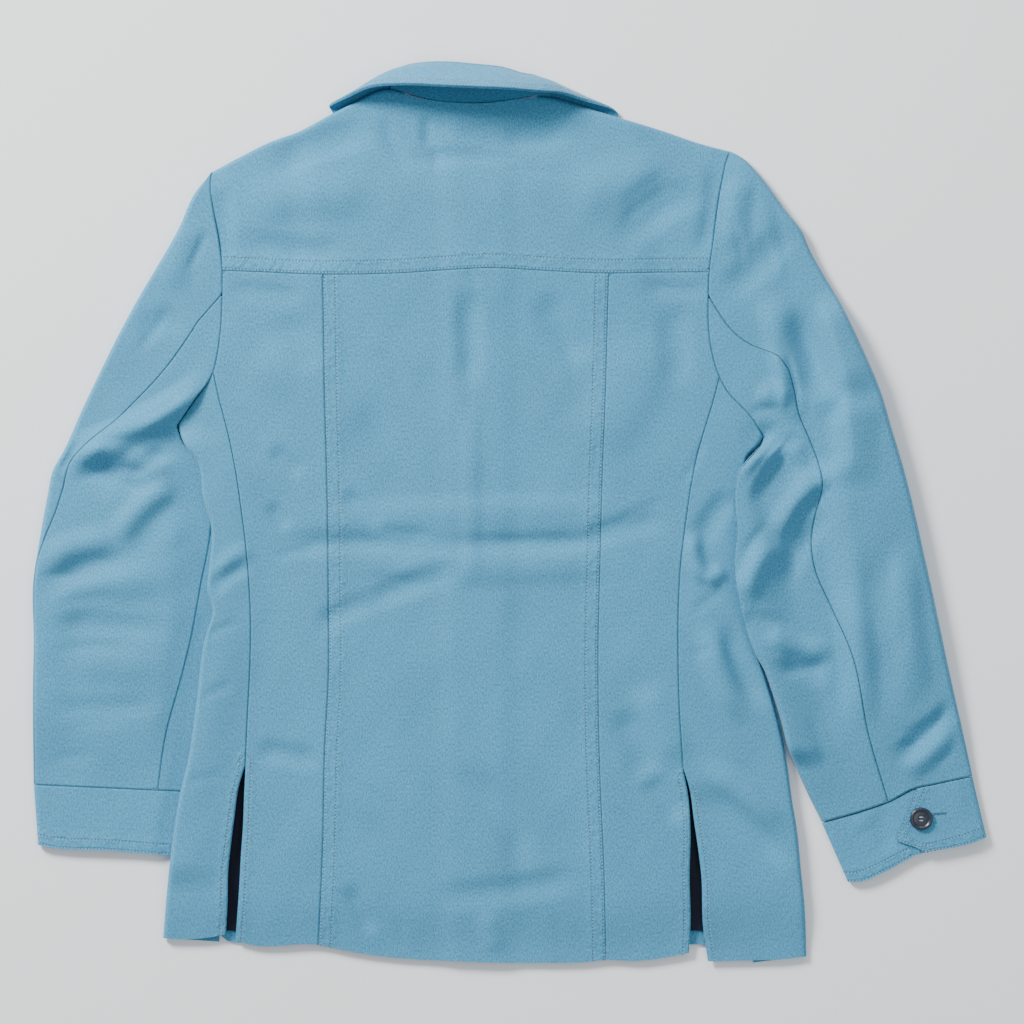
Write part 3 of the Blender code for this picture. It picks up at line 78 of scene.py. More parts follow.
# Outlines and seams of the back, read from collar to hem or from left to right: x, y
SHOULDER_LINE = (
    (-262.4, 300.3), (-237.7, 313.6), (-211.2, 326.8), (-184.8, 336.5), (-158.3, 350.6),
    (-135.4, 362.1), (-107.2, 373.1), (-88.6, 367.5), (-58.7, 362.1), (-38.4, 360.6),
    (-18.1, 361.0), (11.9, 365.0), (37.5, 365.6), (53.4, 361.2), (91.3, 349.7),
    (132.7, 337.4), (172.4, 324.1), (194.9, 318.4))
YOKE_SEAM = (
    (-253.1, 213.4), (-220.1, 212.1), (-164.5, 209.9), (-93.9, 211.2), (-52.5, 213.9),
    (-15.4, 215.6), (26.9, 213.4), (87.3, 210.8), (132.7, 211.7), (176.0, 212.1))
ARMHOLE_LEFT = (
    (-262.4, 300.3), (-263.7, 288.9), (-262.8, 278.3), (-256.2, 239.5), (-253.1, 213.4),
    (-253.1, 198.9), (-255.0, 156.6), (-258.0, 136.3), (-261.1, 123.9), (-265.5, 115.1),
    (-276.5, 100.5), (-285.3, 87.8), (-292.8, 77.2))
ARMHOLE_RIGHT = (
    (194.9, 318.4), (192.3, 312.7), (187.4, 292.4), (179.5, 239.5), (176.0, 212.1),
    (175.3, 190.1), (175.3, 166.3), (177.7, 145.1), (185.2, 119.5), (194.0, 104.1),
    (205.5, 92.6), (215.6, 80.7), (223.6, 66.6))
ARMHOLE_STOPS = (0, 4, 8, 12)
PRINCESS_LEFT = (
    (-164.5, 209.9), (-162.7, 99.2), (-160.5, 11.0), (-159.6, -77.2), (-159.6, -147.7),
    (-162.5, -200.7), (-164.8, -301.2), (-168.5, -381.5))
PRINCESS_RIGHT = (
    (87.3, 210.8), (86.0, 161.0), (84.2, 99.2), (81.6, 28.7), (79.8, -41.9),
    (78.1, -112.5), (78.1, -165.4), (79.8, -235.9), (82.9, -306.5), (85.1, -394.7))
SIDE_SEAM_LEFT = (
    (-261.1, 123.9), (-255.7, 99.2), (-248.3, 71.0), (-241.5, 38.4), (-236.1, 2.2),
    (-232.1, -30.4), (-229.4, -63.1), (-228.0, -94.8), (-228.4, -130.1), (-230.6, -175.1),
    (-232.8, -222.5))
SIDE_SEAM_RIGHT = (
    (185.2, 119.5), (179.5, 97.5), (171.1, 70.1), (165.4, 49.8), (161.0, 28.7),
    (155.7, -6.6), (151.3, -41.9), (149.1, -77.2), (148.6, -121.3), (149.5, -165.4),
    (153.0, -225.4))
VENT_LEFT_SIDE_LIP = (
    (-232.8, -222.5), (-238.6, -242.1), (-242.1, -266.8), (-245.1, -290.6), (-247.8, -316.2),
    (-248.3, -342.7), (-250.0, -372.2))
VENT_LEFT_BACK_LIP = (
    (-232.8, -222.5), (-234.2, -253.6), (-234.9, -273.9), (-236.8, -301.2), (-238.4, -330.3),
    (-241.9, -377.1))
VENT_RIGHT_BACK_LIP = (
    (153.0, -225.4), (157.6, -250.0), (159.6, -280.9), (158.9, -317.1), (159.6, -368.2),
    (158.3, -388.5))
VENT_RIGHT_SIDE_LIP = (
    (153.0, -225.4), (158.3, -243.0), (162.2, -270.3), (166.0, -296.4), (168.6, -317.1),
    (170.7, -368.2), (175.1, -396.0))
HEM_LEFT = ((-305.6, -375.3), (-290.6, -376.2), (-273.0, -375.7), (-250.0, -372.2))
HEM_BACK = (
    (-241.9, -377.1), (-228.9, -381.0), (-168.5, -381.5), (-145.1, -386.3), (-118.6, -390.7),
    (-39.2, -396.0), (26.9, -397.3), (66.6, -396.5), (85.1, -394.7), (109.8, -395.6),
    (132.7, -393.4), (158.3, -388.5))
HEM_RIGHT = ((262.0, -391.6), (239.5, -394.1), (212.1, -395.1), (175.1, -396.0))
EDGE_LEFT = (
    (-292.8, 77.2), (-287.1, 61.3), (-282.7, 54.2), (-274.7, 44.5), (-271.7, 30.4),
    (-270.8, 17.2), (-267.7, 4.9), (-263.3, -10.1), (-262.4, -19.8), (-265.0, -50.7),
    (-266.4, -66.6), (-261.6, -86.0), (-268.6, -111.6), (-276.5, -172.4), (-284.4, -223.6),
    (-289.7, -244.8), (-298.6, -303.0), (-302.1, -333.0), (-305.6, -375.3))
EDGE_RIGHT = (
    (223.6, 66.6), (219.4, 58.7), (209.9, 47.9), (206.5, 34.0), (206.5, 16.0), (207.0, 0.0),
    (207.5, -38.4), (209.0, -77.2), (215.0, -112.5), (227.0, -147.7), (235.3, -176.0),
    (241.6, -202.4), (245.6, -227.1), (249.2, -253.6), (253.6, -280.0), (257.1, -315.3),
    (260.6, -350.6), (262.0, -391.6))

# Underside: where the side panels meet the fronts, and the fronts' own edges: x, y
FRONT_SEAM_LEFT = (
    (-292.8, 77.2), (-262.0, 50.0), (-232.0, 0.0), (-222.0, -60.0), (-221.0, -120.0),
    (-228.0, -180.0), (-238.0, -250.0), (-246.0, -310.0), (-254.0, -374.0))
FRONT_SEAM_RIGHT = (
    (223.6, 66.6), (193.0, 40.0), (168.0, -10.0), (163.0, -70.0), (170.0, -130.0),
    (182.0, -190.0), (194.0, -250.0), (205.0, -318.0), (213.0, -385.0))
NECK_FRONT_LEFT = (
    (-107.2, 373.1), (-106.4, 361.0), (-103.5, 351.0), (-96.0, 333.0), (-79.0, 311.0),
    (-57.0, 294.0), (-38.0, 289.5), (-20.0, 289.5))
NECK_FRONT_RIGHT = (
    (37.5, 365.6), (37.0, 354.0), (34.5, 345.0), (27.0, 327.0), (10.0, 305.5),
    (-12.0, 291.5), (-28.0, 289.5), (-44.0, 289.5))
LAP_EDGE_LEFT = ((-20.0, 289.5), (-14.0, 0.0), (-12.0, -381.0))
LAP_EDGE_RIGHT = ((-44.0, 289.5), (-38.0, 0.0), (-36.0, -381.0))
HEM_FRONT_LEFT = (
    (-254.0, -374.0), (-245.5, -379.6), (-238.0, -379.6), (-226.0, -374.0), (-130.0, -376.0),
    (-12.0, -381.0))
HEM_FRONT_RIGHT = ((213.0, -385.0), (180.0, -382.0), (100.0, -381.5), (-36.0, -381.0))

# Sleeves: folded edges, seams and cuffs: x, y
SLEEVE_OUTER_LEFT = (
    (-262.4, 300.3), (-275.6, 284.4), (-292.4, 249.2), (-312.7, 213.9), (-323.3, 196.2),
    (-342.7, 161.0), (-360.3, 125.7), (-377.1, 90.4), (-392.9, 55.1), (-402.6, 37.5),
    (-407.5, 15.0), (-415.9, -33.1), (-420.0, -60.0), (-419.5, -112.5), (-420.3, -156.6),
    (-420.3, -209.5), (-419.8, -239.9))
SLEEVE_INNER_LEFT = (
    (-292.8, 77.2), (-286.5, 61.3), (-280.0, 53.0), (-266.0, 38.4), (-259.0, 22.0),
    (-255.9, 6.6), (-254.6, -10.1), (-254.3, -28.7), (-255.2, -50.7), (-256.2, -73.6),
    (-256.8, -90.0), (-261.5, -112.5), (-269.5, -165.4), (-277.4, -213.9), (-284.0, -246.1))
HIND_SEAM_LEFT = (
    (-253.1, 198.9), (-265.0, 183.0), (-281.8, 156.6), (-293.3, 139.8), (-307.8, 121.3),
    (-326.8, 101.0), (-347.9, 80.7), (-370.0, 63.1), (-384.6, 48.1), (-393.8, 19.8),
    (-400.9, -2.2), (-410.0, -24.0), (-416.6, -44.0), (-418.9, -62.0))
FORE_SEAM_LEFT = (
    (-288.0, 62.0), (-268.0, 40.0), (-262.5, 22.0), (-261.5, 0.0), (-265.0, -28.7),
    (-271.2, -60.4), (-280.9, -112.5), (-287.4, -139.8), (-303.6, -201.5), (-309.6, -242.6))
CUFF_END_LEFT = (
    (-292.4, -303.0), (-300.3, -302.5), (-350.6, -298.6), (-401.8, -295.9), (-415.9, -293.3))
SLEEVE_OUTER_RIGHT = (
    (194.9, 318.4), (201.5, 315.3), (216.5, 302.1), (230.6, 284.4), (243.0, 266.8),
    (257.1, 249.2), (265.0, 231.5), (295.0, 178.6), (311.8, 143.3), (326.8, 108.0),
    (337.4, 72.8), (347.9, 37.5), (356.8, 2.2), (364.7, -33.1), (372.6, -68.4),
    (387.6, -138.9), (403.5, -209.5), (408.4, -232.0))
SLEEVE_INNER_RIGHT = (
    (223.6, 66.6), (220.1, 58.7), (210.6, 48.1), (201.5, 36.6), (197.1, 16.3),
    (197.7, -1.3), (199.3, -16.3), (197.7, -35.7), (198.6, -59.5), (201.5, -77.2),
    (206.8, -98.8), (214.8, -122.2), (223.9, -138.4), (231.0, -158.3), (238.6, -183.0),
    (245.6, -209.5), (253.6, -227.1), (261.5, -244.8), (275.6, -273.0))
HIND_SEAM_RIGHT = (
    (175.5, 190.1), (181.1, 179.1), (192.5, 164.5), (202.2, 154.8), (213.7, 147.3),
    (233.3, 139.8), (243.0, 130.1), (250.0, 110.7), (255.3, 86.0), (265.0, 63.1),
    (272.1, 43.7), (275.6, 24.3), (269.5, -2.2), (265.9, -28.7), (269.5, -50.7),
    (283.2, -82.5), (300.3, -122.2), (316.9, -198.0), (333.8, -254.2))
CUFF_END_RIGHT = (
    (298.6, -325.9), (307.9, -325.9), (332.6, -316.2), (362.3, -301.0), (374.7, -298.1),
    (387.1, -296.3), (416.7, -288.2), (420.7, -286.2))
# How far the right sleeve's rows bow towards the shoulder at the cuff: share across, rise
CUFF_BOW_RIGHT = ((0.0, 0.0), (0.3, -0.8), (0.45, 0.2), (0.6, 4.6), (0.75, 3.0), (1.0, 0.0))
# Outer end of a right sleeve row above its inner end: inner y, rise
ROW_TILT_RIGHT = ((-273.0, 41.0), (-100.0, 27.0), (66.6, 13.0), (212.0, 1.5), (318.4, -2.5))
# Pointed end of the right cuff: share from seam to end, x
TAB_POINT = ((0.0, 359.2), (0.3, 350.5), (0.56, 341.6), (0.64, 341.6), (1.0, 367.0))

# Collar rows from its left front end to its right one, neck seam, roll and leaf edge
COLLAR_ROWS = (
    # neck x, y, z, roll x, y, z, leaf x, y, z, share lying flat, bulge
    (-38.5, 290.5, 4.3, -37.0, 301.0, 2.8, -84.0, 226.0, 1.5, 1.0, 0.0),
    (-56.6, 295.2, 4.3, -52.0, 306.0, 2.8, -108.0, 252.0, 1.5, 1.0, 0.0),
    (-78.0, 312.2, 4.3, -70.0, 322.0, 2.8, -132.0, 289.0, 1.5, 1.0, 0.0),
    (-94.8, 333.8, 4.4, -84.0, 342.0, 2.8, -149.0, 330.0, 1.5, 1.0, 0.0),
    (-102.4, 352.0, 4.6, -91.0, 361.0, 2.9, -155.5, 351.5, 1.5, 1.0, 0.0),
    (-103.4, 364.5, 4.7, -95.0, 374.0, 3.2, -157.5, 355.5, 1.7, 0.85, 0.5),
    (-104.8, 374.9, 5.8, -99.5, 385.0, 4.6, -158.5, 359.0, 6.0, 0.5, 0.5),
    (-102.4, 374.9, 7.4, -98.0, 389.5, 6.6, -143.5, 366.0, 14.0, 0.1, 2.0),
    (-92.0, 371.0, 8.1, -90.0, 393.2, 8.8, -125.0, 373.4, 25.0, 0.0, 3.0),
    (-74.0, 365.6, 8.1, -72.0, 395.8, 12.0, -94.0, 375.4, 36.5, 0.0, 2.0),
    (-53.0, 362.3, 8.1, -50.0, 395.8, 13.5, -58.0, 373.6, 43.0, 0.0, 1.0),
    (-32.0, 361.4, 8.1, -28.0, 393.8, 14.0, -29.0, 372.3, 44.0, 0.0, 1.0),
    (-9.0, 362.9, 8.1, -6.0, 391.3, 13.5, -2.0, 371.3, 42.5, 0.0, 1.0),
    (8.0, 365.8, 8.1, 10.0, 386.5, 12.0, 22.0, 369.6, 36.0, 0.0, 1.5),
    (22.3, 368.2, 8.1, 20.3, 384.7, 8.8, 46.0, 368.4, 25.0, 0.0, 2.5),
    (32.7, 368.0, 7.4, 28.0, 381.5, 6.6, 67.0, 363.0, 14.0, 0.1, 2.0),
    (35.1, 368.0, 5.8, 29.4, 377.8, 4.6, 90.0, 356.5, 6.0, 0.5, 0.5),
    (33.7, 357.2, 4.7, 25.3, 366.9, 3.2, 96.0, 351.8, 1.8, 0.85, 0.5),
    (33.0, 345.4, 4.6, 21.5, 354.0, 2.9, 94.0, 347.0, 1.5, 1.0, 0.0),
    (25.8, 328.0, 4.4, 15.0, 336.0, 2.8, 86.0, 323.0, 1.5, 1.0, 0.0),
    (9.0, 306.8, 4.3, 1.0, 317.0, 2.8, 71.0, 285.0, 1.5, 1.0, 0.0),
    (-12.6, 292.7, 4.3, -17.0, 303.5, 2.8, 48.0, 249.0, 1.5, 1.0, 0.0),
    (-26.5, 290.5, 4.3, -28.0, 301.0, 2.8, 22.0, 224.0, 1.5, 1.0, 0.0))

# Soft ridges and troughs: x and y of both ends, sideways bend, width on each side, height
BODY_FOLDS = (
    ("under_arm_line", -37, 202, -34, 105, 0, 13, 13, -1.7),
    ("front_edge_below", -35, 110, -34, -70, 0, 9, 9, 0.8),
    ("right_blade", 27, 196, 71, 130, -4, 18, 18, -1.5),
    ("right_pull", 144, 190, 147, 105, 0, 16, 16, -1.4),
    ("waist_left", -216, -28, -55, -26, 3, 10, 14, -1.0),
    ("waist_centre", -75, -27, 90, -22, -2, 9, 12, -1.0),
    ("waist_right", 60, -22, 142, -4, 2, 9, 14, -1.3),
    ("waist_roll", -200, -8, 130, 2, 4, 14, 22, 1.1),
    ("seat_roll", -150, -50, 120, -44, -3, 18, 14, 1.0),
    ("slope_a", -135, -84, -32, -46, 3, 12, 12, -1.4),
    ("slope_b", -172, -102, -118, -76, 2, 11, 11, -1.1),
    ("left_a", -212, 57, -182, 32, 0, 10, 10, -1.1),
    ("left_b", -146, 20, -112, -15, 0, 10, 10, -1.1),
    ("left_c", -212, 8, -194, -15, 0, 8, 8, -1.0),
    ("notch_fold", -264, -72, -226, -46, 4, 9, 8, -1.0),
    ("notch_ridge", -262, -58, -222, -30, 4, 9, 9, 0.9),
    ("right_hollow", 166, -32, 200, 20, 4, 12, 12, -1.5),
    ("right_curl", 162, -14, 176, -66, -6, 9, 9, 2.4),
    ("right_curl_end", 174, -66, 192, -50, 3, 8, 8, 1.9),
    ("hip_right_a", 95, -172, 122, -238, 3, 16, 16, -1.6),
    ("hip_right_b", 120, -232, 152, -274, 2, 14, 14, -1.5),
    ("hip_right_ridge", 112, -150, 150, -225, 4, 18, 18, 1.6),
    ("skirt_right", 160, -240, 250, -316, 4, 12, 14, -1.9),
    ("skirt_right_ridge", 168, -222, 246, -282, 4, 14, 12, 1.5),
    ("beside_sleeve", 190, -92, 226, -176, -5, 10, 10, -1.9),
    ("beside_sleeve_ridge", 172, -96, 206, -190, -4, 13, 12, 2.0),
    ("skirt_centre", -45, -220, 18, -318, 8, 16, 16, -1.5),
    ("skirt_low", -76, -338, 72, -318, -4, 12, 14, -1.2),
    ("skirt_left", -228, -210, -164, -222, 3, 11, 11, -1.2),
    ("hem_a", -145, -326, -119, -374, 0, 10, 10, -1.1),
    ("hem_b", -20, -350, -12, -392, 0, 10, 12, 1.0),
    ("blade_roll_left", -225, 150, -120, 60, 10, 30, 34, 1.6),
    ("blade_roll_right", 130, 160, 60, 50, 8, 30, 30, 1.5),
    ("yoke_left", -216, 303, -118, 336, 4, 14, 14, -1.5),
    ("yoke_neck", -52, 335, 60, 340, -6, 14, 12, -1.7),
    ("yoke_upright", -73, 352, -72, 318, 0, 6, 7, -1.1),
    ("yoke_level", -96, 312, 20, 313, 2, 8, 9, -1.1),
    ("yoke_low_left", -246, 242, -140, 228, -4, 14, 14, -1.4),
    ("yoke_low_right", 176, 288, 88, 232, -6, 16, 16, -1.6),
    ("yoke_roll_left", -240, 270, -110, 275, 8, 22, 22, 1.5),
    ("yoke_roll_right", 50, 270, 150, 300, 6, 24, 24, 1.4))
LEFT_SLEEVE_FOLDS = (
    ("arm_ridge", -256, 122, -396, 48, 8, 16, 15, 5.0),
    ("elbow_hollow_a", -278, 62, -350, 48, -4, 13, 12, -2.5),
    ("elbow_hollow_b", -346, 54, -374, 16, 2, 18, 16, -1.6),
    ("elbow_roll", -392, 46, -300, 30, 14, 10, 10, 3.2),
    ("elbow_arc", -388, 30, -322, 12, 12, 9, 9, -2.2),
    ("crook_a", -418, -72, -330, -46, 10, 14, 13, -1.5),
    ("crook_b", -336, -50, -276, 22, 6, 12, 12, -1.0),
    ("crook_roll_a", -414, -48, -340, -26, 8, 14, 14, 3.2),
    ("crook_roll_b", -350, -32, -290, 28, 8, 12, 12, 3.6),
    ("crook_low", -412, -92, -290, -60, 14, 16, 18, 2.2),
    ("forearm_a", -412, -101, -290, -106, 4, 11, 11, -1.3),
    ("forearm_b", -412, -171, -300, -166, -4, 11, 11, -1.2),
    ("forearm_roll", -404, -136, -300, -140, 4, 16, 16, 1.2),
    ("cap_roll", -276, 262, -300, 190, -4, 16, 14, 2.0),
    ("cap_hollow", -330, 160, -285, 170, 3, 14, 14, -1.4))
RIGHT_SLEEVE_FOLDS = (
    ("cap_ridge", 206, 304, 200, 226, -4, 14, 14, 3.0),
    ("cap_hollow", 248, 254, 186, 190, 4, 14, 15, -2.4),
    ("arm_hollow_a", 252, 186, 283, 96, -2, 10, 20, -3.2),
    ("arm_hollow_b", 284, 106, 276, 22, -4, 10, 16, -2.4),
    ("arm_ridge_a", 276, 196, 306, 96, -2, 30, 9, 5.0),
    ("arm_ridge_b", 302, 110, 294, 20, -4, 28, 9, 4.0),
    ("pit_roll", 214, 108, 262, 84, 4, 14, 12, 3.2),
    ("pit_hollow", 196, 42, 248, 72, 5, 12, 12, -2.5),
    ("loop_roll_a", 286, 44, 232, -30, -6, 12, 13, 5.0),
    ("loop_roll_b", 238, -22, 204, -82, -5, 12, 12, 4.6),
    ("loop_hollow_a", 254, 52, 216, -4, -5, 12, 11, -2.4),
    ("loop_hollow_b", 282, 6, 236, -70, -4, 12, 12, -2.2),
    ("crook_a", 206, -86, 238, -108, -2, 11, 11, -2.0),
    ("crook_b", 236, -128, 284, -144, -3, 12, 12, -1.9),
    ("crook_roll", 220, -104, 290, -122, -4, 10, 11, 2.6),
    ("outer_hollow", 326, -14, 334, -188, -6, 17, 17, -2.3),
    ("outer_ridge", 348, -20, 362, -170, -4, 14, 14, 2.4),
    ("inner_ridge", 296, -60, 306, -200, 5, 18, 16, 2.6),
    ("cuff_crease", 396, -163, 334, -222, 4, 11, 11, -2.2),
    ("cuff_roll", 392, -186, 344, -232, 4, 11, 10, 2.4))
RIGHT_CUFF_FOLDS = (
    ("tab_hollow", 318, -262, 334, -300, 3, 14, 10, -1.0),
    ("seam_swell", 300, -280, 330, -268, 2, 8, 8, 0.6))

# Fullness over the plain solids, and how much deeper the folds are
LOFT = 3.8
FOLD_GAIN = 1.45

# Finer creases of the cloth, in the same columns as the folds
BODY_CREASES = (
    ("armhole_hollow_right", 180, 312, 167, 222, 4, 14, 9, -2.0),
    ("armhole_hollow_left", -250, 296, -246, 214, -3, 9, 13, -1.3),
    ("under_yoke_right", 112, 200, 178, 197, 0, 5, 12, -1.3),
    ("under_yoke_left", -250, 200, -178, 193, 0, 5, 13, -1.2),
    ("yoke_hollow_right", 96, 262, 150, 296, 5, 12, 12, -1.6),
    ("blade_left", -200, 176, -176, 120, 5, 14, 18, -1.3),
    ("waist_sharp", -40, -24, 104, -20, -2, 4, 8, -0.7),
    ("waist_sharp_left", -196, -30, -96, -26, 2, 4, 8, -0.7),
    ("collar_pull_a", -112, 350, -84, 300, -4, 7, 9, -1.3),
    ("collar_pull_b", -70, 340, -64, 296, 2, 5, 7, -0.9),
    ("pucker_blade", -40, 216, -28, 196, 2, 5, 5, -0.9),
    ("centre_line", -36, 190, -34, -60, 0, 4, 5, -0.35),
    ("hem_small_a", -146, -330, -121, -372, 2, 5, 5, -0.7),
    ("hem_small_b", -100, -352, -92, -388, 1, 5, 5, -0.5),
    ("hem_small_c", 40, -352, 46, -390, 1, 6, 6, -0.5),
    ("hip_fine_a", -150, -232, -110, -262, 3, 6, 6, -0.5),
    ("hip_fine_b", 84, -256, 120, -300, 3, 6, 6, -0.6),
    ("waist_fine_a", -130, -14, -60, -22, 2, 5, 5, -0.8),
    ("waist_fine_b", 20, -34, 74, -30, 2, 5, 5, -0.7),
    ("waist_fine_c", 92, -8, 140, 8, 3, 5, 5, -0.8),
    ("waist_fine_d", -208, -40, -168, -34, 2, 5, 5, -0.8),
    ("seat_fine", -140, -58, -70, -64, 3, 6, 6, -0.6),
    ("blade_fine_a", -120, 150, -90, 96, 4, 8, 8, -0.6),
    ("blade_fine_b", 36, 170, 60, 110, 4, 8, 8, -0.6),
    ("pull_fine_left", -248, 96, -214, 60, 3, 5, 5, -0.7),
    ("pull_fine_right", 172, 70, 150, 24, 3, 5, 5, -0.7),
    ("side_left_a", -268, -110, -238, -98, 2, 5, 5, -0.7),
    ("side_left_b", -276, -168, -240, -150, 2, 6, 6, -0.6),
    ("side_left_c", -288, -240, -250, -232, 2, 6, 6, -0.5),
    ("side_right_a", 160, -92, 190, -70, 3, 5, 5, -0.9),
    ("side_right_b", 158, -128, 184, -120, 2, 5, 5, -0.7),
    ("side_right_c", 196, -214, 236, -262, 4, 6, 6, -0.7),
    ("yoke_fine_a", -200, 300, -150, 318, 3, 5, 5, -0.5),
    ("yoke_fine_b", 96, 250, 150, 290, 4, 6, 6, -0.6),
    ("yoke_fine_c", -60, 352, -10, 346, 2, 4, 4, -0.5),
    ("yoke_fine_d", -20, 300, 60, 296, 3, 6, 6, -0.4))
LEFT_SLEEVE_CREASES = (
    ("elbow_sharp", -284, 58, -336, 30, -3, 6, 11, -2.8),
    ("elbow_deep", -348, 64, -374, 34, 4, 10, 9, -0.8),
    ("elbow_lip", -292, 74, -338, 52, 3, 7, 7, 1.2),
    ("under_ridge", -270, 112, -330, 72, 4, 7, 7, 1.5),
    ("sleeve_roll", -400, 20, -414, -230, -3, 26, 40, 2.2),
    ("elbow_fine_a", -300, 74, -352, 66, 3, 5, 5, -1.0),
    ("elbow_fine_b", -380, 64, -398, 36, 2, 5, 5, -1.0),
    ("elbow_fine_c", -372, 40, -318, 30, 4, 5, 5, -0.9),
    ("elbow_fine_d", -352, 22, -300, 18, 4, 5, 5, -0.7),
    ("crook_fine_a", -414, -58, -372, -58, 3, 5, 5, -1.0),
    ("crook_fine_b", -400, -84, -340, -74, 4, 6, 6, -0.8),
    ("crook_fine_c", -300, -44, -268, -12, 3, 5, 5, -0.9),
    ("forearm_fine_a", -400, -122, -330, -120, 3, 6, 6, -0.5),
    ("forearm_fine_b", -390, -190, -330, -186, 3, 6, 6, -0.5),
    ("forearm_fine_c", -408, -220, -360, -214, 2, 6, 6, -0.5),
    ("cap_fine_a", -268, 250, -286, 210, 2, 5, 5, -0.7),
    ("cap_fine_b", -300, 184, -330, 140, 3, 6, 6, -0.6))
RIGHT_SLEEVE_CREASES = (
    ("arm_lobe", 228, 196, 252, 92, 0, 17, 14, 3.4),
    ("arm_trough", 258, 178, 291, 74, 0, 9, 18, -3.0),
    ("arm_trough_low", 285, 104, 290, 30, 3, 9, 16, -2.6),
    ("lobe_edge", 238, 152, 254, 80, 3, 5, 12, -1.8),
    ("lobe_lip", 230, 150, 243, 88, 3, 10, 6, 3.2),
    ("loop_sharp", 256, 72, 211, 7, -4, 10, 4, -2.4),
    ("loop_lip", 246, 76, 200, 26, -3, 5, 7, 1.8),
    ("loop_low_sharp", 279, 24, 240, -32, -5, 10, 4, -2.2),
    ("cuff_sharp", 391, -168, 340, -214, 3, 4, 8, -1.5),
    ("crook_sharp", 232, -141, 284, -131, -3, 8, 5, -1.6),
    ("shoulder_roll", 214, 296, 238, 190, 3, 10, 16, 1.4),
    ("sleeve_roll", 266, 210, 330, -236, 6, 78, 26, 6.4),
    ("cap_fine_a", 192, 262, 206, 214, 3, 6, 6, -0.8),
    ("cap_fine_b", 214, 250, 236, 206, 3, 6, 6, -0.7),
    ("arm_fine_a", 254, 160, 272, 118, 3, 6, 6, -0.9),
    ("arm_fine_b", 286, 80, 284, 40, 3, 6, 6, -0.8),
    ("pit_fine", 206, 84, 244, 92, 3, 5, 5, -0.9),
    ("loop_fine_a", 224, 20, 250, 52, 4, 5, 5, -1.0),
    ("loop_fine_b", 206, -40, 230, -10, 4, 5, 5, -1.0),
    ("loop_fine_c", 250, -20, 262, 16, 3, 5, 5, -0.9),
    ("crook_fine_a", 214, -92, 252, -102, 3, 5, 5, -0.9),
    ("crook_fine_b", 226, -134, 262, -142, 3, 5, 5, -0.8),
    ("outer_fine", 340, -60, 346, -130, 3, 7, 7, -0.7),
    ("cuff_fine_a", 372, -178, 344, -196, 3, 5, 5, -0.8),
    ("cuff_fine_b", 392, -206, 372, -222, 2, 5, 5, -0.6),
    ("inner_fine", 262, -180, 280, -232, 3, 6, 6, -0.6))

# Topstitching: piece, edge that it follows, distances in from it, first and last share of it
STITCH_ROWS = (
    ("back_yoke", "bottom", (1.5, 11.3), 0.0, 1.0),
    ("back_centre", "left", (1.4, 10.8), 0.0, 1.0),
    ("back_centre", "right", (1.4, 10.8), 0.0, 1.0),
    ("back_side_left", "left", (5.6,), 0.755, 1.0),
    ("back_side_right", "right", (5.6,), 0.775, 1.0),
    ("side_panel_left", "right", (5.6,), 0.70, 1.0),
    ("side_panel_right", "right", (5.6,), 0.75, 1.0),
    ("cuff_left", "bottom", (1.6, 9.4), 0.0, 1.0),
    ("cuff_right", "bottom", (1.6, 9.4), 0.0, 1.0),
    ("cuff_right", "right", (1.6, 8.4), 0.0, 1.0),
    ("upper_collar", "right", (1.5, 7.2), 0.0, 1.0))

# Counts along and across the pieces: so many fine steps for each step of the part
FINE = 6
ROWS_ARMHOLE = (6 * FINE, 4 * FINE, 3 * FINE)
ROWS_SIDE = 16 * FINE
ROWS_VENT = 6 * FINE
COLUMNS_BACK = (25, 70, 25)
COLUMNS_SHOULDER = (35, 50, 35)
ROWS_SLEEVE = 15 * FINE
ROWS_COLLAR = 190
ROWS_CUFF = 18
TURN = 7


def soft(value):
    """Ramp that leaves 0 and reaches 1 without a corner."""
    value = np.clip(value, 0.0, 1.0)
    return value * value * (3.0 - 2.0 * value)


def spline(knots, values, where):
    """Cubic curve through the values, with each knot's slope from its neighbours."""
    knots = np.asarray(knots, float)
    values = np.asarray(values, float)
    if knots[0] > knots[-1]:
        knots = knots[::-1]
        values = values[::-1]
    where = np.clip(np.asarray(where, float), knots[0], knots[-1])
    step = np.diff(knots)
    secant = np.diff(values) / step
    slope = np.empty_like(values)
    slope[0] = secant[0]
    slope[-1] = secant[-1]
    slope[1:-1] = (step[1:] * secant[:-1] + step[:-1] * secant[1:]) / (step[:-1] + step[1:])
    cell = np.clip(np.searchsorted(knots, where, side="right") - 1, 0, len(step) - 1)
    wide = step[cell]
    part = (where - knots[cell]) / wide
    start = (1 + 2 * part) * (1 - part) ** 2 * values[cell]
    lead = part * (1 - part) ** 2 * wide * slope[cell]
    finish = part ** 2 * (3 - 2 * part) * values[cell + 1]
    trail = part ** 2 * (part - 1) * wide * slope[cell + 1]
    return start + lead + finish + trail


def chord_length(points):
    """Running length of the straight steps between the points."""
    steps = np.linalg.norm(np.diff(points, axis=0), axis=1)
    return np.concatenate([[0.0], np.cumsum(steps)])


def trace(table, stops, counts):
    """Samples on the smooth line through the table, evenly between the numbered stops."""
    points = np.array(table, float)
    length = chord_length(points[:, :2])
    where = [length[stops[0]]]
    for first, last, count in zip(stops[:-1], stops[1:], counts):
        where.extend(np.linspace(length[first], length[last], count + 1)[1:])
    return np.stack([spline(length, points[:, k], where) for k in range(points.shape[1])], 1)


def evenly(table, count):
    """Samples on the whole line through the table."""
    return trace(table, (0, len(table) - 1), (count,))


def across(table, y):
    """x of a line at the given y."""
    points = np.array(table, float)
    return spline(points[:, 1], points[:, 0], y)


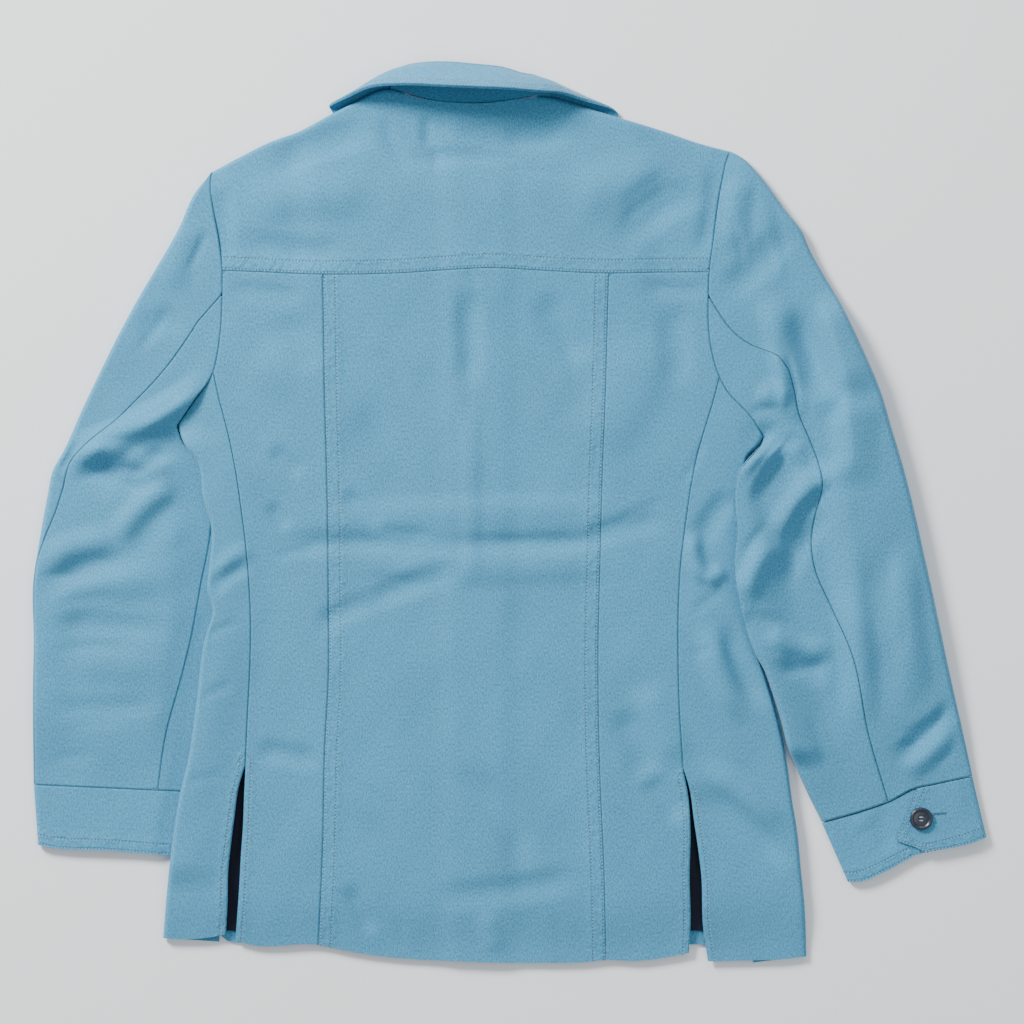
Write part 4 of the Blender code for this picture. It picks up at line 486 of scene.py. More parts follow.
def fill(top, bottom, left, right):
    """Points over a patch, blended from its four sampled sides."""
    s = np.linspace(0, 1, len(top))[None, :, None]
    t = np.linspace(0, 1, len(left))[:, None, None]
    rows = (1 - t) * top[None] + t * bottom[None]
    columns = (1 - s) * left[:, None] + s * right[:, None]
    ends = (1 - t) * ((1 - s) * top[0] + s * top[-1]) + t * ((1 - s) * bottom[0] + s * bottom[-1])
    return rows + columns - ends


def unit(vectors):
    """Vectors at length one."""
    size = np.linalg.norm(vectors, axis=-1, keepdims=True)
    return vectors / np.maximum(size, 1e-9)


def inset(line, inside, amount):
    """A sampled seam moved square to itself, towards the inside points."""
    along = np.gradient(line, axis=0)
    normal = unit(np.stack([-along[:, 1], along[:, 0]], 1))
    sign = np.sign(np.sum(normal * (inside - line), axis=1, keepdims=True))
    return line + normal * sign * amount


def inset_sides(grid, sides):
    """A patch drawn back from the named seams by half the seam gap."""
    moved = grid.copy()
    half = SEAM_GAP / 2
    if "top" in sides:
        moved[0] += inset(grid[0], grid[1], half) - grid[0]
    if "bottom" in sides:
        moved[-1] += inset(grid[-1], grid[-2], half) - grid[-1]
    if "left" in sides:
        moved[:, 0] += inset(grid[:, 0], grid[:, 1], half) - grid[:, 0]
    if "right" in sides:
        moved[:, -1] += inset(grid[:, -1], grid[:, -2], half) - grid[:, -1]
    return moved


def relief(folds, points):
    """Height of the soft ridges and troughs at the points.

    Each is a bell across its bowed line, with its own width on either side, fading at its ends.
    """
    height = np.zeros(points.shape[:-1])
    for name, x0, y0, x1, y1, bend, width_left, width_right, rise in folds:
        start = np.array((x0, y0), float)
        chord = np.array((x1, y1), float) - start
        length = np.hypot(*chord)
        along = chord / length
        share = ((points - start) @ along) / length
        beside = (points - start) @ np.array((-along[1], along[0]))
        inner = np.clip(share, 0, 1)
        beside = beside - 4 * bend * inner * (1 - inner)
        width = np.where(beside > 0, width_left, width_right)
        cross = np.clip(1 - (beside / (1.25 * width)) ** 2, 0, 1) ** 2
        height += rise * cross * soft(share / 0.3) * soft((1 - share) / 0.3)
    return height * FOLD_GAIN


def ripple(points, tall):
    """Faint unevenness of laid cloth: crossed long sine waves, each of its own length."""
    waves = (
        # length x, length y, phase, share of the height
        (61.0, 147.0, 0.4, 0.30), (-89.0, 71.0, 1.9, 0.26), (43.0, -97.0, 3.1, 0.20),
        (33.0, 58.0, 5.2, 0.14), (-27.0, 41.0, 0.9, 0.10))
    total = np.zeros(points.shape[:-1])
    for along_x, along_y, phase, share in waves:
        turns = points[..., 0] / along_x + points[..., 1] / along_y
        total += share * np.sin(2 * np.pi * turns + phase)
    return tall * total


def eased(height, least):
    """The height, eased off so that it stays above the least: half its excess plus a root."""
    spare = height - least
    return least + 0.5 * (spare + np.sqrt(spare ** 2 + 0.8))


def loft(points):
    """Extra fullness of the cloth, which fades out at the neck and at the hem."""
    y = points[..., 1]
    return LOFT * soft((345 - y) / 70) * soft((y + 392) / 60)


def dip(points):
    """Thinner cloth at the armpits and shoulder points, where seams meet."""
    x = points[..., 0]
    y = points[..., 1]
    loss = np.zeros(x.shape)
    for table in (ARMHOLE_LEFT, ARMHOLE_RIGHT):
        for (px, py), reach in ((table[-1], 26), (table[0], 20)):
            loss += 2.2 * soft(1 - np.hypot(x - px, y - py) / reach)
    return loss


def collar_lift(points):
    """Rise of the fronts over the collar leaf that lies below them."""
    x = points[..., 0]
    y = points[..., 1]
    return COLLAR_LIFT * soft((y - 150) / 70) * soft((x + 196) / 30) * soft((136 - x) / 30)


def lift_share_left(y):
    """Share of the left lift along the body, full between armpit and cuff end."""
    return soft((77 - y) / 20) * soft((y + 334) / 26)


def lift_share_right(y):
    """Share of the right sleeve's lift over the body."""
    return soft((66 - y) / 19) * soft((y + 226) / 20)


def sleeve_reach_left(y):
    """x of the left sleeve's inner fold, carried on down the cuff."""
    wrist_x, wrist_y = SLEEVE_INNER_LEFT[-1]
    end_x, end_y = CUFF_END_LEFT[0]
    cuff = wrist_x + (end_x - wrist_x) * np.clip((wrist_y - y) / (wrist_y - end_y), 0, 1)
    return np.where(y < wrist_y, cuff, across(SLEEVE_INNER_LEFT, y))


def body_under(points):
    """Underside of the body: flat, but over the left sleeve and the collar leaf."""
    x = points[..., 0]
    y = points[..., 1]
    beyond = soft((sleeve_reach_left(y) + 22 - x) / 20)
    return SLEEVE_LIFT * lift_share_left(y) * beyond + collar_lift(points)


def body_top(points):
    """Upper face of the body."""
    x = points[..., 0]
    y = points[..., 1]
    beyond = soft((sleeve_reach_left(y) + 52 - x) / 50)
    lifted = SLEEVE_LIFT * lift_share_left(y) * beyond
    lifted = np.maximum(lifted, body_under(points) - collar_lift(points))
    hem = 1.6 * soft((-345 - y) / 45)
    lap = LAP_DEPTH * soft((x + 66) / 20) * soft((10 - x) / 20)
    folds = 1.6 * relief(BODY_FOLDS, points) + relief(BODY_CREASES, points) + ripple(points, 0.4)
    high = DEPTH + loft(points) + folds - dip(points) - hem + 0.5 * lap
    return lifted + collar_lift(points) + eased(high, 2 * WALL + 0.5 + lap)


def flat_under(points):
    """Underside of what lies on the surface."""
    return np.zeros(points.shape[:-1])


def below_body(points, start, width):
    """Share that rises over the width, from its start outside the body's left edge."""
    gone = points[..., 0] - across(EDGE_LEFT, points[..., 1])
    return soft((gone + start) / width) * lift_share_left(points[..., 1])


def left_sleeve_top(points):
    """Upper face of the left sleeve, pressed thin below the body."""
    pressed = below_body(points, 18, 14)
    free = 1 - below_body(points, 36, 22)
    folds = relief(LEFT_SLEEVE_FOLDS, points) + relief(LEFT_SLEEVE_CREASES, points)
    full = loft(points) * soft((points[..., 1] + 242) / 70)
    high = eased(DEPTH + (full + folds + ripple(points, 0.4)) * free - dip(points), 2 * WALL + 0.5)
    return high * (1 - pressed) + UNDER_DEPTH * pressed


def right_sleeve_under(points):
    """Underside of the right sleeve, lifted where it lies on the body."""
    x = points[..., 0]
    y = points[..., 1]
    edge = across(EDGE_RIGHT, y)
    near = soft((edge + 21 - x) / 16)
    return lift_share_right(y) * near * (body_top(points) + 2 * LAYER_GAP)


def right_sleeve_top(points):
    """Upper face of the right sleeve."""
    x = points[..., 0]
    y = points[..., 1]
    edge = across(EDGE_RIGHT, y)
    near = soft((edge + 46 - x) / 44)
    full = loft(points)
    lifted = lift_share_right(y) * near * (DEPTH + full + LAYER_GAP)
    full = full * soft((y + 234 + 0.32 * (407 - x)) / 70)
    folds = relief(RIGHT_SLEEVE_FOLDS, points) + relief(RIGHT_SLEEVE_CREASES, points)
    high = DEPTH + full + folds + ripple(points, 0.4) - dip(points)
    high = lifted + eased(high, 2 * WALL + 0.5)
    return np.maximum(high, right_sleeve_under(points) + 2 * WALL + 0.5)


def two_faces(points, angle, amount, inward, upper, top, under, thickness):
    """Outer and inner faces of the cloth, bent round the folded edges.

    The angle runs from 0 at the middle of a fold to 90 degrees where the cloth is flat.
    """
    high = top(points)
    low = under(points)
    half = (high - low) / 2
    lost = amount * (1 - np.sin(angle))
    outer = np.where(upper, high - lost * half, low + lost * half)
    above = high - thickness - lost * (half - thickness)
    below = low + thickness + lost * (half - thickness)
    inner = np.where(upper, above, below)
    moved = points + inward * (thickness * np.cos(angle) * amount)[..., None]
    return np.dstack([points, outer]), np.dstack([moved, inner])


def fold_angle(distance, radius):
    """Angle round a folded edge at a distance in from it."""
    return np.arccos(np.clip(1 - distance / radius, 0, 1))


def arc_distance(arc, radius):
    """Distance in from a folded edge for a length measured round it."""
    quarter = radius * np.pi / 2
    return np.where(arc < quarter, radius * (1 - np.cos(arc / radius)), radius + arc - quarter)


def fold_arc(distance, radius):
    """Length round a folded edge, to a distance in from it."""
    past = radius * np.pi / 2 + distance - radius
    return np.where(distance < radius, radius * fold_angle(distance, radius), past)


def arc_share(arc, quarter, mark):
    """Length at a mark: 0 to 1 runs over the fold's quarter turn, 1 to 2 over the rest."""
    turned = np.minimum(arc, quarter) * np.minimum(mark, 1)
    return turned + np.maximum(arc - quarter, 0) * np.maximum(mark - 1, 0)


def armholes():
    """Samples of both armholes, shared by the body and the sleeves."""
    left = trace(ARMHOLE_LEFT, ARMHOLE_STOPS, ROWS_ARMHOLE)
    right = trace(ARMHOLE_RIGHT, ARMHOLE_STOPS, ROWS_ARMHOLE)
    return left, right


def shoulder_samples():
    """Samples from the left shoulder point round the neck to the right one."""
    return trace(SHOULDER_LINE, (0, 6, 12, 17), COLUMNS_SHOULDER)


def front_under(side):
    """Underside of a front; the right one lies inside the left one where they lap."""
    def under(points):
        low = body_under(points)
        if side == "right":
            edge = across(LAP_EDGE_LEFT, points[..., 1])
            low = low + LAP_RISE * soft((edge + 34 - points[..., 0]) / 20)
        return low
    return under


def sleeve_rows(side):
    """Inner and outer ends of a sleeve's rows, from the shoulder point to the cuff."""
    left, right = armholes()
    count = sum(ROWS_ARMHOLE)
    if side == "left":
        lower = evenly(SLEEVE_INNER_LEFT, ROWS_SLEEVE)[1:]
        inner = np.concatenate([left, lower])
        y = inner[:, 1] - 4.0 * np.exp(-np.arange(len(inner)) / 2.0 / FINE)
        share = soft((77 - inner[:, 1]) / (77 + 246.1))
        y = y + 6.2 * share
        outer = np.stack([across(SLEEVE_OUTER_LEFT, y), y], 1)
    else:
        lower = evenly(SLEEVE_INNER_RIGHT, ROWS_SLEEVE)[1:]
        inner = np.concatenate([right, lower])
        tilt = np.array(ROW_TILT_RIGHT)
        y = inner[:, 1] + spline(tilt[:, 0], tilt[:, 1], inner[:, 1])
        outer = np.stack([across(SLEEVE_OUTER_RIGHT, y), y], 1)
    shifted = inset(inner[:count + 1], outer[:count + 1], SEAM_GAP / 2)
    inner = np.concatenate([shifted, inner[count + 1:]])
    return inner, outer


def row_points(inner, outer, share, side):
    """Points on the rows at a share from the inner to the outer end."""
    points = inner[:, None] + share[..., None] * (outer - inner)[:, None]
    if side == "right":
        bow = np.array(CUFF_BOW_RIGHT)
        weight = soft((-150 - inner[:, 1]) / 123)[:, None]
        points[..., 1] += weight * spline(bow[:, 0], bow[:, 1], share)
    return points


def seam_share(inner, outer, table, side):
    """Share along each row where a seam crosses it."""
    share = np.broadcast_to(np.linspace(0, 1, 401), (len(inner), 401))
    points = row_points(inner, outer, share, side)
    ahead = points[..., 0] - across(table, points[..., 1])
    found = np.ones(len(inner))
    for k in range(len(inner)):
        sign = ahead[k] * (-1 if side == "left" else 1)
        crossed = np.nonzero((sign[:-1] <= 0) & (sign[1:] > 0))[0]
        if len(crossed):
            j = crossed[0]
            found[k] = (j + sign[j] / (sign[j] - sign[j + 1])) / 400
    return found


def sleeve_wall(inner, outer, distance, upper, side):
    """Faces of sleeve cloth at distances in from the inner end of each row."""
    top, under = (left_sleeve_top, flat_under) if side == "left" else (
        right_sleeve_top, right_sleeve_under)
    wide = np.linalg.norm(outer - inner, axis=1)
    lead = unit(outer - inner)
    points = row_points(inner, outer, distance / wide[:, None], side)
    radius = np.minimum(FOLD_RADIUS, 0.4 * wide)[:, None]
    count = sum(ROWS_ARMHOLE)
    number = np.arange(len(inner))
    held = np.clip((number - count) / 2 / FINE, 0, 1)[:, None]
    at_inner = distance < wide[:, None] / 2
    gone = np.where(at_inner, distance, wide[:, None] - distance)
    angle = fold_angle(gone, radius)
    amount = np.where(at_inner, held, 1.0)
    inward = np.where(at_inner[..., None], lead[:, None], -lead[:, None])
    return two_faces(points, angle, amount, inward, upper, top, under, WALL)


def cuff_ends(side, count):
    """Inner and outer ends of a cuff's rows and its seam and end lines."""
    inner, outer = sleeve_rows(side)
    share = np.linspace(0, 1, 41)
    seam = row_points(inner[-1:], outer[-1:], share[None], side)[0]
    seam = seam - np.array((0.0, SEAM_GAP if side == "left" else 3 * SEAM_GAP))
    end = evenly(CUFF_END_LEFT if side == "left" else CUFF_END_RIGHT, 40)
    t = np.linspace(0, 1, count + 1)[:, None, None]
    return seam[None] * (1 - t) + end[None] * t


def line_at(rows, distance):
    """Points on each row of a cuff at a distance from its inner end."""
    points = np.empty(distance.shape + (2,))
    for k, row in enumerate(rows):
        length = chord_length(row)
        for axis in range(2):
            points[k, :, axis] = np.interp(distance[k], length, row[:, axis])
    return points


def cuff_faces(rows, wide, columns, top):
    """Faces of a cuff, from columns of a distance along its rows and whether it lies above."""
    distance = np.stack([c[0] for c in columns], 1)
    upper = np.zeros(distance.shape, bool)
    upper[:] = [c[1] for c in columns]
    points = line_at(rows, distance)
    lead = unit(rows[:, -1] - rows[:, 0])
    at_inner = distance < wide[:, None] / 2
    gone = np.where(at_inner, distance, wide[:, None] - distance)
    angle = fold_angle(gone, FOLD_RADIUS)
    inward = np.where(at_inner[..., None], lead[:, None], -lead[:, None])
    amount = np.ones(distance.shape)
    return two_faces(points, angle, amount, inward, upper, top, flat_under, CUFF_WALL)


def left_cuff_face(points):
    """Upper face of the left cuff, pressed thin below the body, with soft waves along it."""
    pressed = CUFF_DEPTH_LEFT - (CUFF_DEPTH_LEFT - UNDER_DEPTH) * below_body(points, 18, 14)
    return pressed + ripple(points, 0.5) * soft((points[..., 0] + 420) / 12) - 0.3


def right_cuff_face(points):
    """Upper face of the right cuff: level, with soft waves along it and a hollow by the tab."""
    return CUFF_DEPTH_RIGHT + relief(RIGHT_CUFF_FOLDS, points) + ripple(points, 0.3)


def running(grid):
    """Running chord length down each column of a grid, and the steps that it sums."""
    steps = np.linalg.norm(np.diff(grid, axis=0), axis=2)
    return np.concatenate([np.zeros((1, grid.shape[1])), np.cumsum(steps, axis=0)]), steps


def along_rows(grid, distance):
    """Points down each column of a grid, at distances from its first row.

    The running chord length down a column is inverted by linear interpolation.
    """
    run, steps = running(grid)
    cell = np.clip(np.sum(run[None] <= distance[:, None] + 1e-9, axis=1) - 1, 0, len(steps) - 1)
    start = np.take_along_axis(run, cell, 0)
    part = (distance - start) / np.take_along_axis(steps, cell, 0)
    one = np.take_along_axis(grid, cell[..., None], 0)
    two = np.take_along_axis(grid, cell[..., None] + 1, 0)
    return one + (two - one) * part[..., None]


def flat_patch(grid, upper, top, under, shares=None):
    """A patch of one layer; shares, one for each column, round its first row as a fold.

    Rows leave the fold at radius times one minus the cosine of the turn, then run evenly.
    """
    points = grid
    angle = np.full(grid.shape[:2], np.pi / 2)
    amount = np.zeros(grid.shape[:2])
    inward = np.zeros(grid.shape)
    if shares is not None:
        whole = running(grid)[0][-1]
        turns = np.linspace(np.arcsin(SEAM_GAP / 2 / 3.2), np.pi / 2, TURN)
        near = FOLD_RADIUS * (1 - np.cos(turns))[:, None] * np.ones(grid.shape[1])
        rest = FOLD_RADIUS + np.linspace(0, 1, grid.shape[0])[1:, None] * (whole - FOLD_RADIUS)
        points = along_rows(grid, np.concatenate([near, np.minimum(rest, whole)]))
        angle = np.full(points.shape[:2], np.pi / 2)
        angle[:TURN] = turns[:, None]
        amount = np.zeros(points.shape[:2])
        amount[:TURN] = shares
        inward = np.zeros(points.shape)
        inward[:TURN] = unit(grid[2] - grid[0])
    return two_faces(points, angle, amount, inward, upper, top, under, WALL)


def plan_yoke():
    """Faces of the back yoke, folded over at both shoulders."""
    left, right = armholes()
    rows = ROWS_ARMHOLE[0]
    seam = trace(YOKE_SEAM, (0, 2, 7, 9), COLUMNS_BACK)
    grid = fill(shoulder_samples(), seam, left[:rows + 1], right[:rows + 1])
    grid = inset_sides(grid, ("left", "right", "bottom"))
    first, middle = COLUMNS_SHOULDER[:2]
    column = np.arange(grid.shape[1])
    to_first = soft((first + FINE - column) / FINE)
    to_last = soft((column - first - middle + FINE) / FINE)
    shares = np.maximum(to_first, to_last)
    return flat_patch(grid, True, body_top, body_under, shares)


def plan_back(name):
    """Faces of one panel of the back."""
    left, right = armholes()
    seam = trace(YOKE_SEAM, (0, 2, 7, 9), COLUMNS_BACK)
    a, b = COLUMNS_BACK[:2]
    rows = ROWS_ARMHOLE[1] + ROWS_SIDE + ROWS_VENT
    princess_left = evenly(PRINCESS_LEFT, rows)
    princess_right = evenly(PRINCESS_RIGHT, rows)
    hem = trace(HEM_BACK, (0, 2, 8, 11), COLUMNS_BACK)
    upper = slice(ROWS_ARMHOLE[0], ROWS_ARMHOLE[0] + ROWS_ARMHOLE[1])
    side_left = np.concatenate([
        left[upper], evenly(SIDE_SEAM_LEFT, ROWS_SIDE)[:-1], evenly(VENT_LEFT_BACK_LIP, ROWS_VENT)])
    side_right = np.concatenate([
        right[upper], evenly(SIDE_SEAM_RIGHT, ROWS_SIDE)[:-1], evenly(VENT_RIGHT_BACK_LIP, ROWS_VENT)])
    plans = {
        "back_side_left": (seam[:a + 1], hem[:a + 1], side_left, princess_left),
        "back_centre": (seam[a:a + b + 1], hem[a:a + b + 1], princess_left, princess_right),
        "back_side_right": (seam[a + b:], hem[a + b:], princess_right, side_right)}
    grid = inset_sides(fill(*plans[name]), ("top", "left", "right"))
    return flat_patch(grid, True, body_top, body_under)


def plan_side_panel(side):
    """Faces of a side panel, from the side seam round the folded edge to the front's seam."""
    armhole = armholes()[0 if side == "left" else 1]
    tables = {
        "left": (EDGE_LEFT, SIDE_SEAM_LEFT, VENT_LEFT_SIDE_LIP, HEM_LEFT, FRONT_SEAM_LEFT),
        "right": (EDGE_RIGHT, SIDE_SEAM_RIGHT, VENT_RIGHT_SIDE_LIP, HEM_RIGHT, FRONT_SEAM_RIGHT)}
    edge, seam, lip, hem, below = tables[side]
    pit = armhole[sum(ROWS_ARMHOLE[:2]):][::-1]
    inner_side = np.concatenate([evenly(seam, ROWS_SIDE)[:-1], evenly(lip, ROWS_VENT)])
    rows = ROWS_SIDE + ROWS_VENT
    grid = fill(pit, evenly(hem, ROWS_ARMHOLE[2]), evenly(edge, rows), inner_side)
    grid = inset_sides(grid, ("top", "right"))
    start = grid[:, 0]
    lead = unit(grid[:, 2] - start)
    knots = np.array(below, float)
    order = np.argsort(knots[:, 1])
    reach = np.full(rows + 1, 20.0)
    for _ in range(30):
        y = start[:, 1] + lead[:, 1] * reach
        x = np.interp(y, knots[order, 1], knots[order, 0])
        x = np.where(y < knots[-1, 1] + 6, x + np.sign(knots[-1, 0]) * 1.5, x)
        reach = 0.6 * reach + 0.4 * np.clip((x - start[:, 0]) / lead[:, 0], 0.8, 90.0)
    near_pit = 2.5 * np.exp(-np.arange(rows + 1) / 1.5 / FINE)
    reach = np.maximum(reach - SEAM_GAP / 2 - 0.5 - near_pit, 0.4)
    quarter = FOLD_RADIUS * np.pi / 2
    arc = fold_arc(reach, FOLD_RADIUS)
    mark = np.concatenate([np.linspace(2, 1, 12)[:-1], np.linspace(1, 0, TURN)])[None]
    under = arc_share(arc[:, None], quarter, mark)
    over = np.linspace(0, quarter, TURN)[None, 1:] * np.ones((rows + 1, 1))
    length = np.concatenate([under, over], 1)
    bent = FOLD_RADIUS * (1 - np.cos(np.minimum(length, quarter) / FOLD_RADIUS))
    distance = bent + np.maximum(length - quarter, 0)
    folded = start[:, None] + lead[:, None] * distance[..., None]
    turned = grid.swapaxes(0, 1)
    whole = running(turned)[0][-1]
    gone = FOLD_RADIUS + np.linspace(0, 1, 20)[1:, None] * (whole - FOLD_RADIUS)
    flat = along_rows(turned, np.minimum(gone, whole)).swapaxes(0, 1)
    points = np.concatenate([folded, flat], 1)
    angle = np.full(points.shape[:2], np.pi / 2)
    angle[:, :length.shape[1]] = np.minimum(length / FOLD_RADIUS, np.pi / 2)
    upper = np.zeros(angle.shape, bool)
    upper[:, under.shape[1]:] = True
    inward = np.broadcast_to(lead[:, None], points.shape)
    return two_faces(points, angle, np.ones(angle.shape), inward, upper, body_top, body_under, WALL)


def plan_front(side):
    """Faces of a front on the underside, from the shoulder fold to the hem."""
    shoulder = shoulder_samples()
    first, middle = COLUMNS_SHOULDER[:2]
    if side == "left":
        armhole, shoulder = armholes()[0], shoulder[:first + 1]
        neck, lap, seam, hem = NECK_FRONT_LEFT, LAP_EDGE_LEFT, FRONT_SEAM_LEFT, HEM_FRONT_LEFT
    else:
        armhole, shoulder = armholes()[1], shoulder[first + middle:][::-1]
        neck, lap, seam, hem = NECK_FRONT_RIGHT, LAP_EDGE_RIGHT, FRONT_SEAM_RIGHT, HEM_FRONT_RIGHT
    one = np.concatenate([armhole, evenly(seam, 8 * FINE)[1:]])
    corner = len(armhole) - 1
    number = np.arange(len(one))
    pull = 6.0 * np.clip(1 - np.abs(number - corner) / FINE, 0, 1)
    one = one + unit(np.array(seam[1], float) - np.array(seam[0], float)) * pull[:, None]
    rows = len(one) - 1
    neck_rows = 9 * FINE
    two = np.concatenate([evenly(neck, neck_rows)[:-1], evenly(lap, rows - neck_rows)])
    grid = inset_sides(fill(shoulder, evenly(hem, len(shoulder) - 1), one, two), ("left",))
    return flat_patch(grid, False, body_top, front_under(side), np.ones(grid.shape[1]))


def sleeve_plan(side):
    """Rows, widths and seam positions of a sleeve."""
    inner, outer = sleeve_rows(side)
    wide = np.linalg.norm(outer - inner, axis=1)
    radius = np.minimum(FOLD_RADIUS, 0.4 * wide)
    first = ROWS_ARMHOLE[0] + FINE
    table = HIND_SEAM_LEFT if side == "left" else HIND_SEAM_RIGHT
    number = np.arange(len(inner))
    hind = np.minimum(seam_share(inner, outer, table, side) * wide, wide - 0.4)
    meet = slice(first, first + FINE + 1)
    hind[meet] = np.linspace(1.2, hind[first + FINE], FINE + 1)
    hind = np.where(number < first, 0.0, np.maximum(hind, 1.2))
    fore = np.zeros(len(inner))
    if side == "left":
        past = number / FINE - 15
        gap = across(SLEEVE_INNER_LEFT, inner[:, 1]) - across(FORE_SEAM_LEFT, inner[:, 1])
        fore = np.where(past > 0, np.maximum(np.maximum(gap, 0.8 * past), 0.0), 0.0)
    return inner, outer, wide, radius, first, hind, fore


def plan_upper_sleeve(side):
    """Faces of the upper sleeve: the top outside, round the outer fold and the underside.

    Each row is laid out by its length round the folds, which turn through a half circle.
    """
    inner, outer, wide, radius, first, hind, fore = sleeve_plan(side)
    number = np.arange(len(inner))
    quarter = radius * np.pi / 2
    open_top = wide - hind - np.where(number < first, 0.0, SEAM_GAP * 0.75)
    arc = fold_arc(open_top, radius)
    down = np.linspace(1, 0, TURN)
    columns = []
    for mark in np.concatenate([np.linspace(2, 1, 40)[:-1], down]):
        columns.append((wide - arc_distance(arc_share(arc, quarter, mark), radius), True))
    for mark in 1 - down[1:]:
        columns.append((wide - arc_distance(mark * quarter, radius), False))
    for mark in np.linspace(0, 1, 18)[1:-1]:
        columns.append((wide - radius - mark * (wide - 2 * radius), False))
    for mark in down[:-1]:
        columns.append((arc_distance(mark * quarter, radius), False))
    if side == "right":
        columns.append((np.where(number > sum(ROWS_ARMHOLE), 0.004, 0.0), False))
    else:
        arc_fore = fold_arc(fore, radius)
        columns.append((np.zeros(len(inner)), False))
        for mark in np.concatenate([1 - down[1:], np.linspace(1, 2, 8)[1:]]):
            columns.append((arc_distance(arc_share(arc_fore, quarter, mark), radius), True))
    distance = np.stack([c[0] for c in columns], 1)
    upper = np.zeros(distance.shape, bool)
    upper[:] = [c[1] for c in columns]
    faces = sleeve_wall(inner, outer, distance, upper, side)
    if side == "left":
        wrap = TURN + 13
        plain = upper.copy()
        plain[:, -13:] = False
        share = np.linspace(1.0, 0.01, wrap)
        held = distance.copy()
        held[:, -wrap:] = arc_distance(quarter[:, None] * share, radius[:, None])
        other = sleeve_wall(inner, outer, held, plain, side)
        weight = np.clip(number / FINE - 15, 0, 1)[:, None, None]
        faces = tuple(a * weight + b * (1 - weight) for a, b in zip(faces, other))
    return faces


def plan_under_sleeve(side):
    """Faces of the under sleeve, a patch of the top between the hind and the inner seam."""
    inner, outer, wide, radius, first, hind, fore = sleeve_plan(side)
    quarter = radius * np.pi / 2
    coarse = np.arange(len(inner)) / FINE
    start = np.where(coarse > 13, fore + np.interp(coarse, (13, 17, 18), (1.4, 1.4, 0.35)), 0.0)
    finish_at = hind - SEAM_GAP * 0.75
    arc = fold_arc(start, radius)
    room = np.maximum(finish_at - start, 0.2)
    ramp = np.maximum(quarter - arc, 1.5)
    near = [np.minimum(arc_distance(arc + ramp * mark, radius), start + room * 0.3 * mark)
            for mark in np.linspace(0, 1, TURN)]
    arc_end = fold_arc(wide - finish_at, radius)
    ramp_end = np.maximum(quarter - arc_end, 1.5)
    far = [np.maximum(wide - arc_distance(arc_end + ramp_end * mark, radius),
                      finish_at - room * 0.3 * mark) for mark in np.linspace(1, 0, TURN)]
    between = [near[-1] + (far[0] - near[-1]) * mark for mark in np.linspace(0, 1, 24)[1:-1]]
    distance = np.stack(near + between + far, 1)[first:]
    upper = np.ones(distance.shape, bool)
    return sleeve_wall(inner[first:], outer[first:], distance, upper, side)


def cuff_turn(count):
    """Distances in from a cuff's fold over its quarter turn, one array of rows for each."""
    arcs = np.linspace(0, FOLD_RADIUS * np.pi / 2, TURN)
    return [np.full(count, arc_distance(arc, FOLD_RADIUS)) for arc in arcs]


def plan_left_cuff():
    """Faces of the left cuff, a closed band: once round from its inner fold."""
    rows = cuff_ends("left", ROWS_CUFF)
    wide = np.array([chord_length(row)[-1] for row in rows])
    turn = cuff_turn(len(rows))
    level = [FOLD_RADIUS + mark * (wide - 2 * FOLD_RADIUS) for mark in np.linspace(0, 1, 34)[1:-1]]
    columns = [(d, True) for d in turn + level] + [(wide - d, True) for d in turn[::-1]]
    columns += [(wide - d, False) for d in turn[1:]] + [(d, False) for d in level[::-1] + turn[:0:-1]]
    return cuff_faces(rows, wide, columns, left_cuff_face)


def plan_right_cuff():
    """Faces of the right cuff, an open band whose pointed end lies over its plain end."""
    rows = cuff_ends("right", ROWS_CUFF * 2)
    wide = np.array([chord_length(row)[-1] for row in rows])
    point = np.array(TAB_POINT)
    tip_x = np.interp(np.linspace(0, 1, len(rows)), point[:, 0], point[:, 1])
    tip = np.array([np.interp(x, row[:, 0], chord_length(row)) for x, row in zip(tip_x, rows)])
    hidden = np.minimum(tip + CUFF_OVERLAP, wide - 14)
    turn = cuff_turn(len(rows))
    columns = [(FOLD_RADIUS + mark * (hidden - FOLD_RADIUS), True, 0.0)
               for mark in np.linspace(1, 0, 28)[:-1]]
    columns += [(d, True, 0.0) for d in turn[::-1]] + [(d, False, 0.0) for d in turn[1:]]
    columns += [(FOLD_RADIUS + mark * (wide - 2 * FOLD_RADIUS), False, 0.0)
                for mark in np.linspace(0, 1, 22)[1:-1]]
    columns += [(wide - d, False, 0.0) for d in turn[::-1]]
    columns += [(wide - d, True, TAB_TURN_RISE * k / (TURN - 1)) for k, d in enumerate(turn) if k]
    flat = wide - FOLD_RADIUS
    further = CUFF_WALL + LAYER_GAP - TAB_TURN_RISE
    for mark in np.linspace(0, 1, 22)[1:]:
        lift = TAB_TURN_RISE + further * soft(mark / 0.2)
        columns.append((flat + mark * (tip - flat), True, lift))
    outer, inner = cuff_faces(rows, wide, [c[:2] for c in columns], right_cuff_face)
    rise = np.array([c[2] for c in columns])
    outer[..., 2] += rise
    inner[..., 2] += rise
    return outer, inner


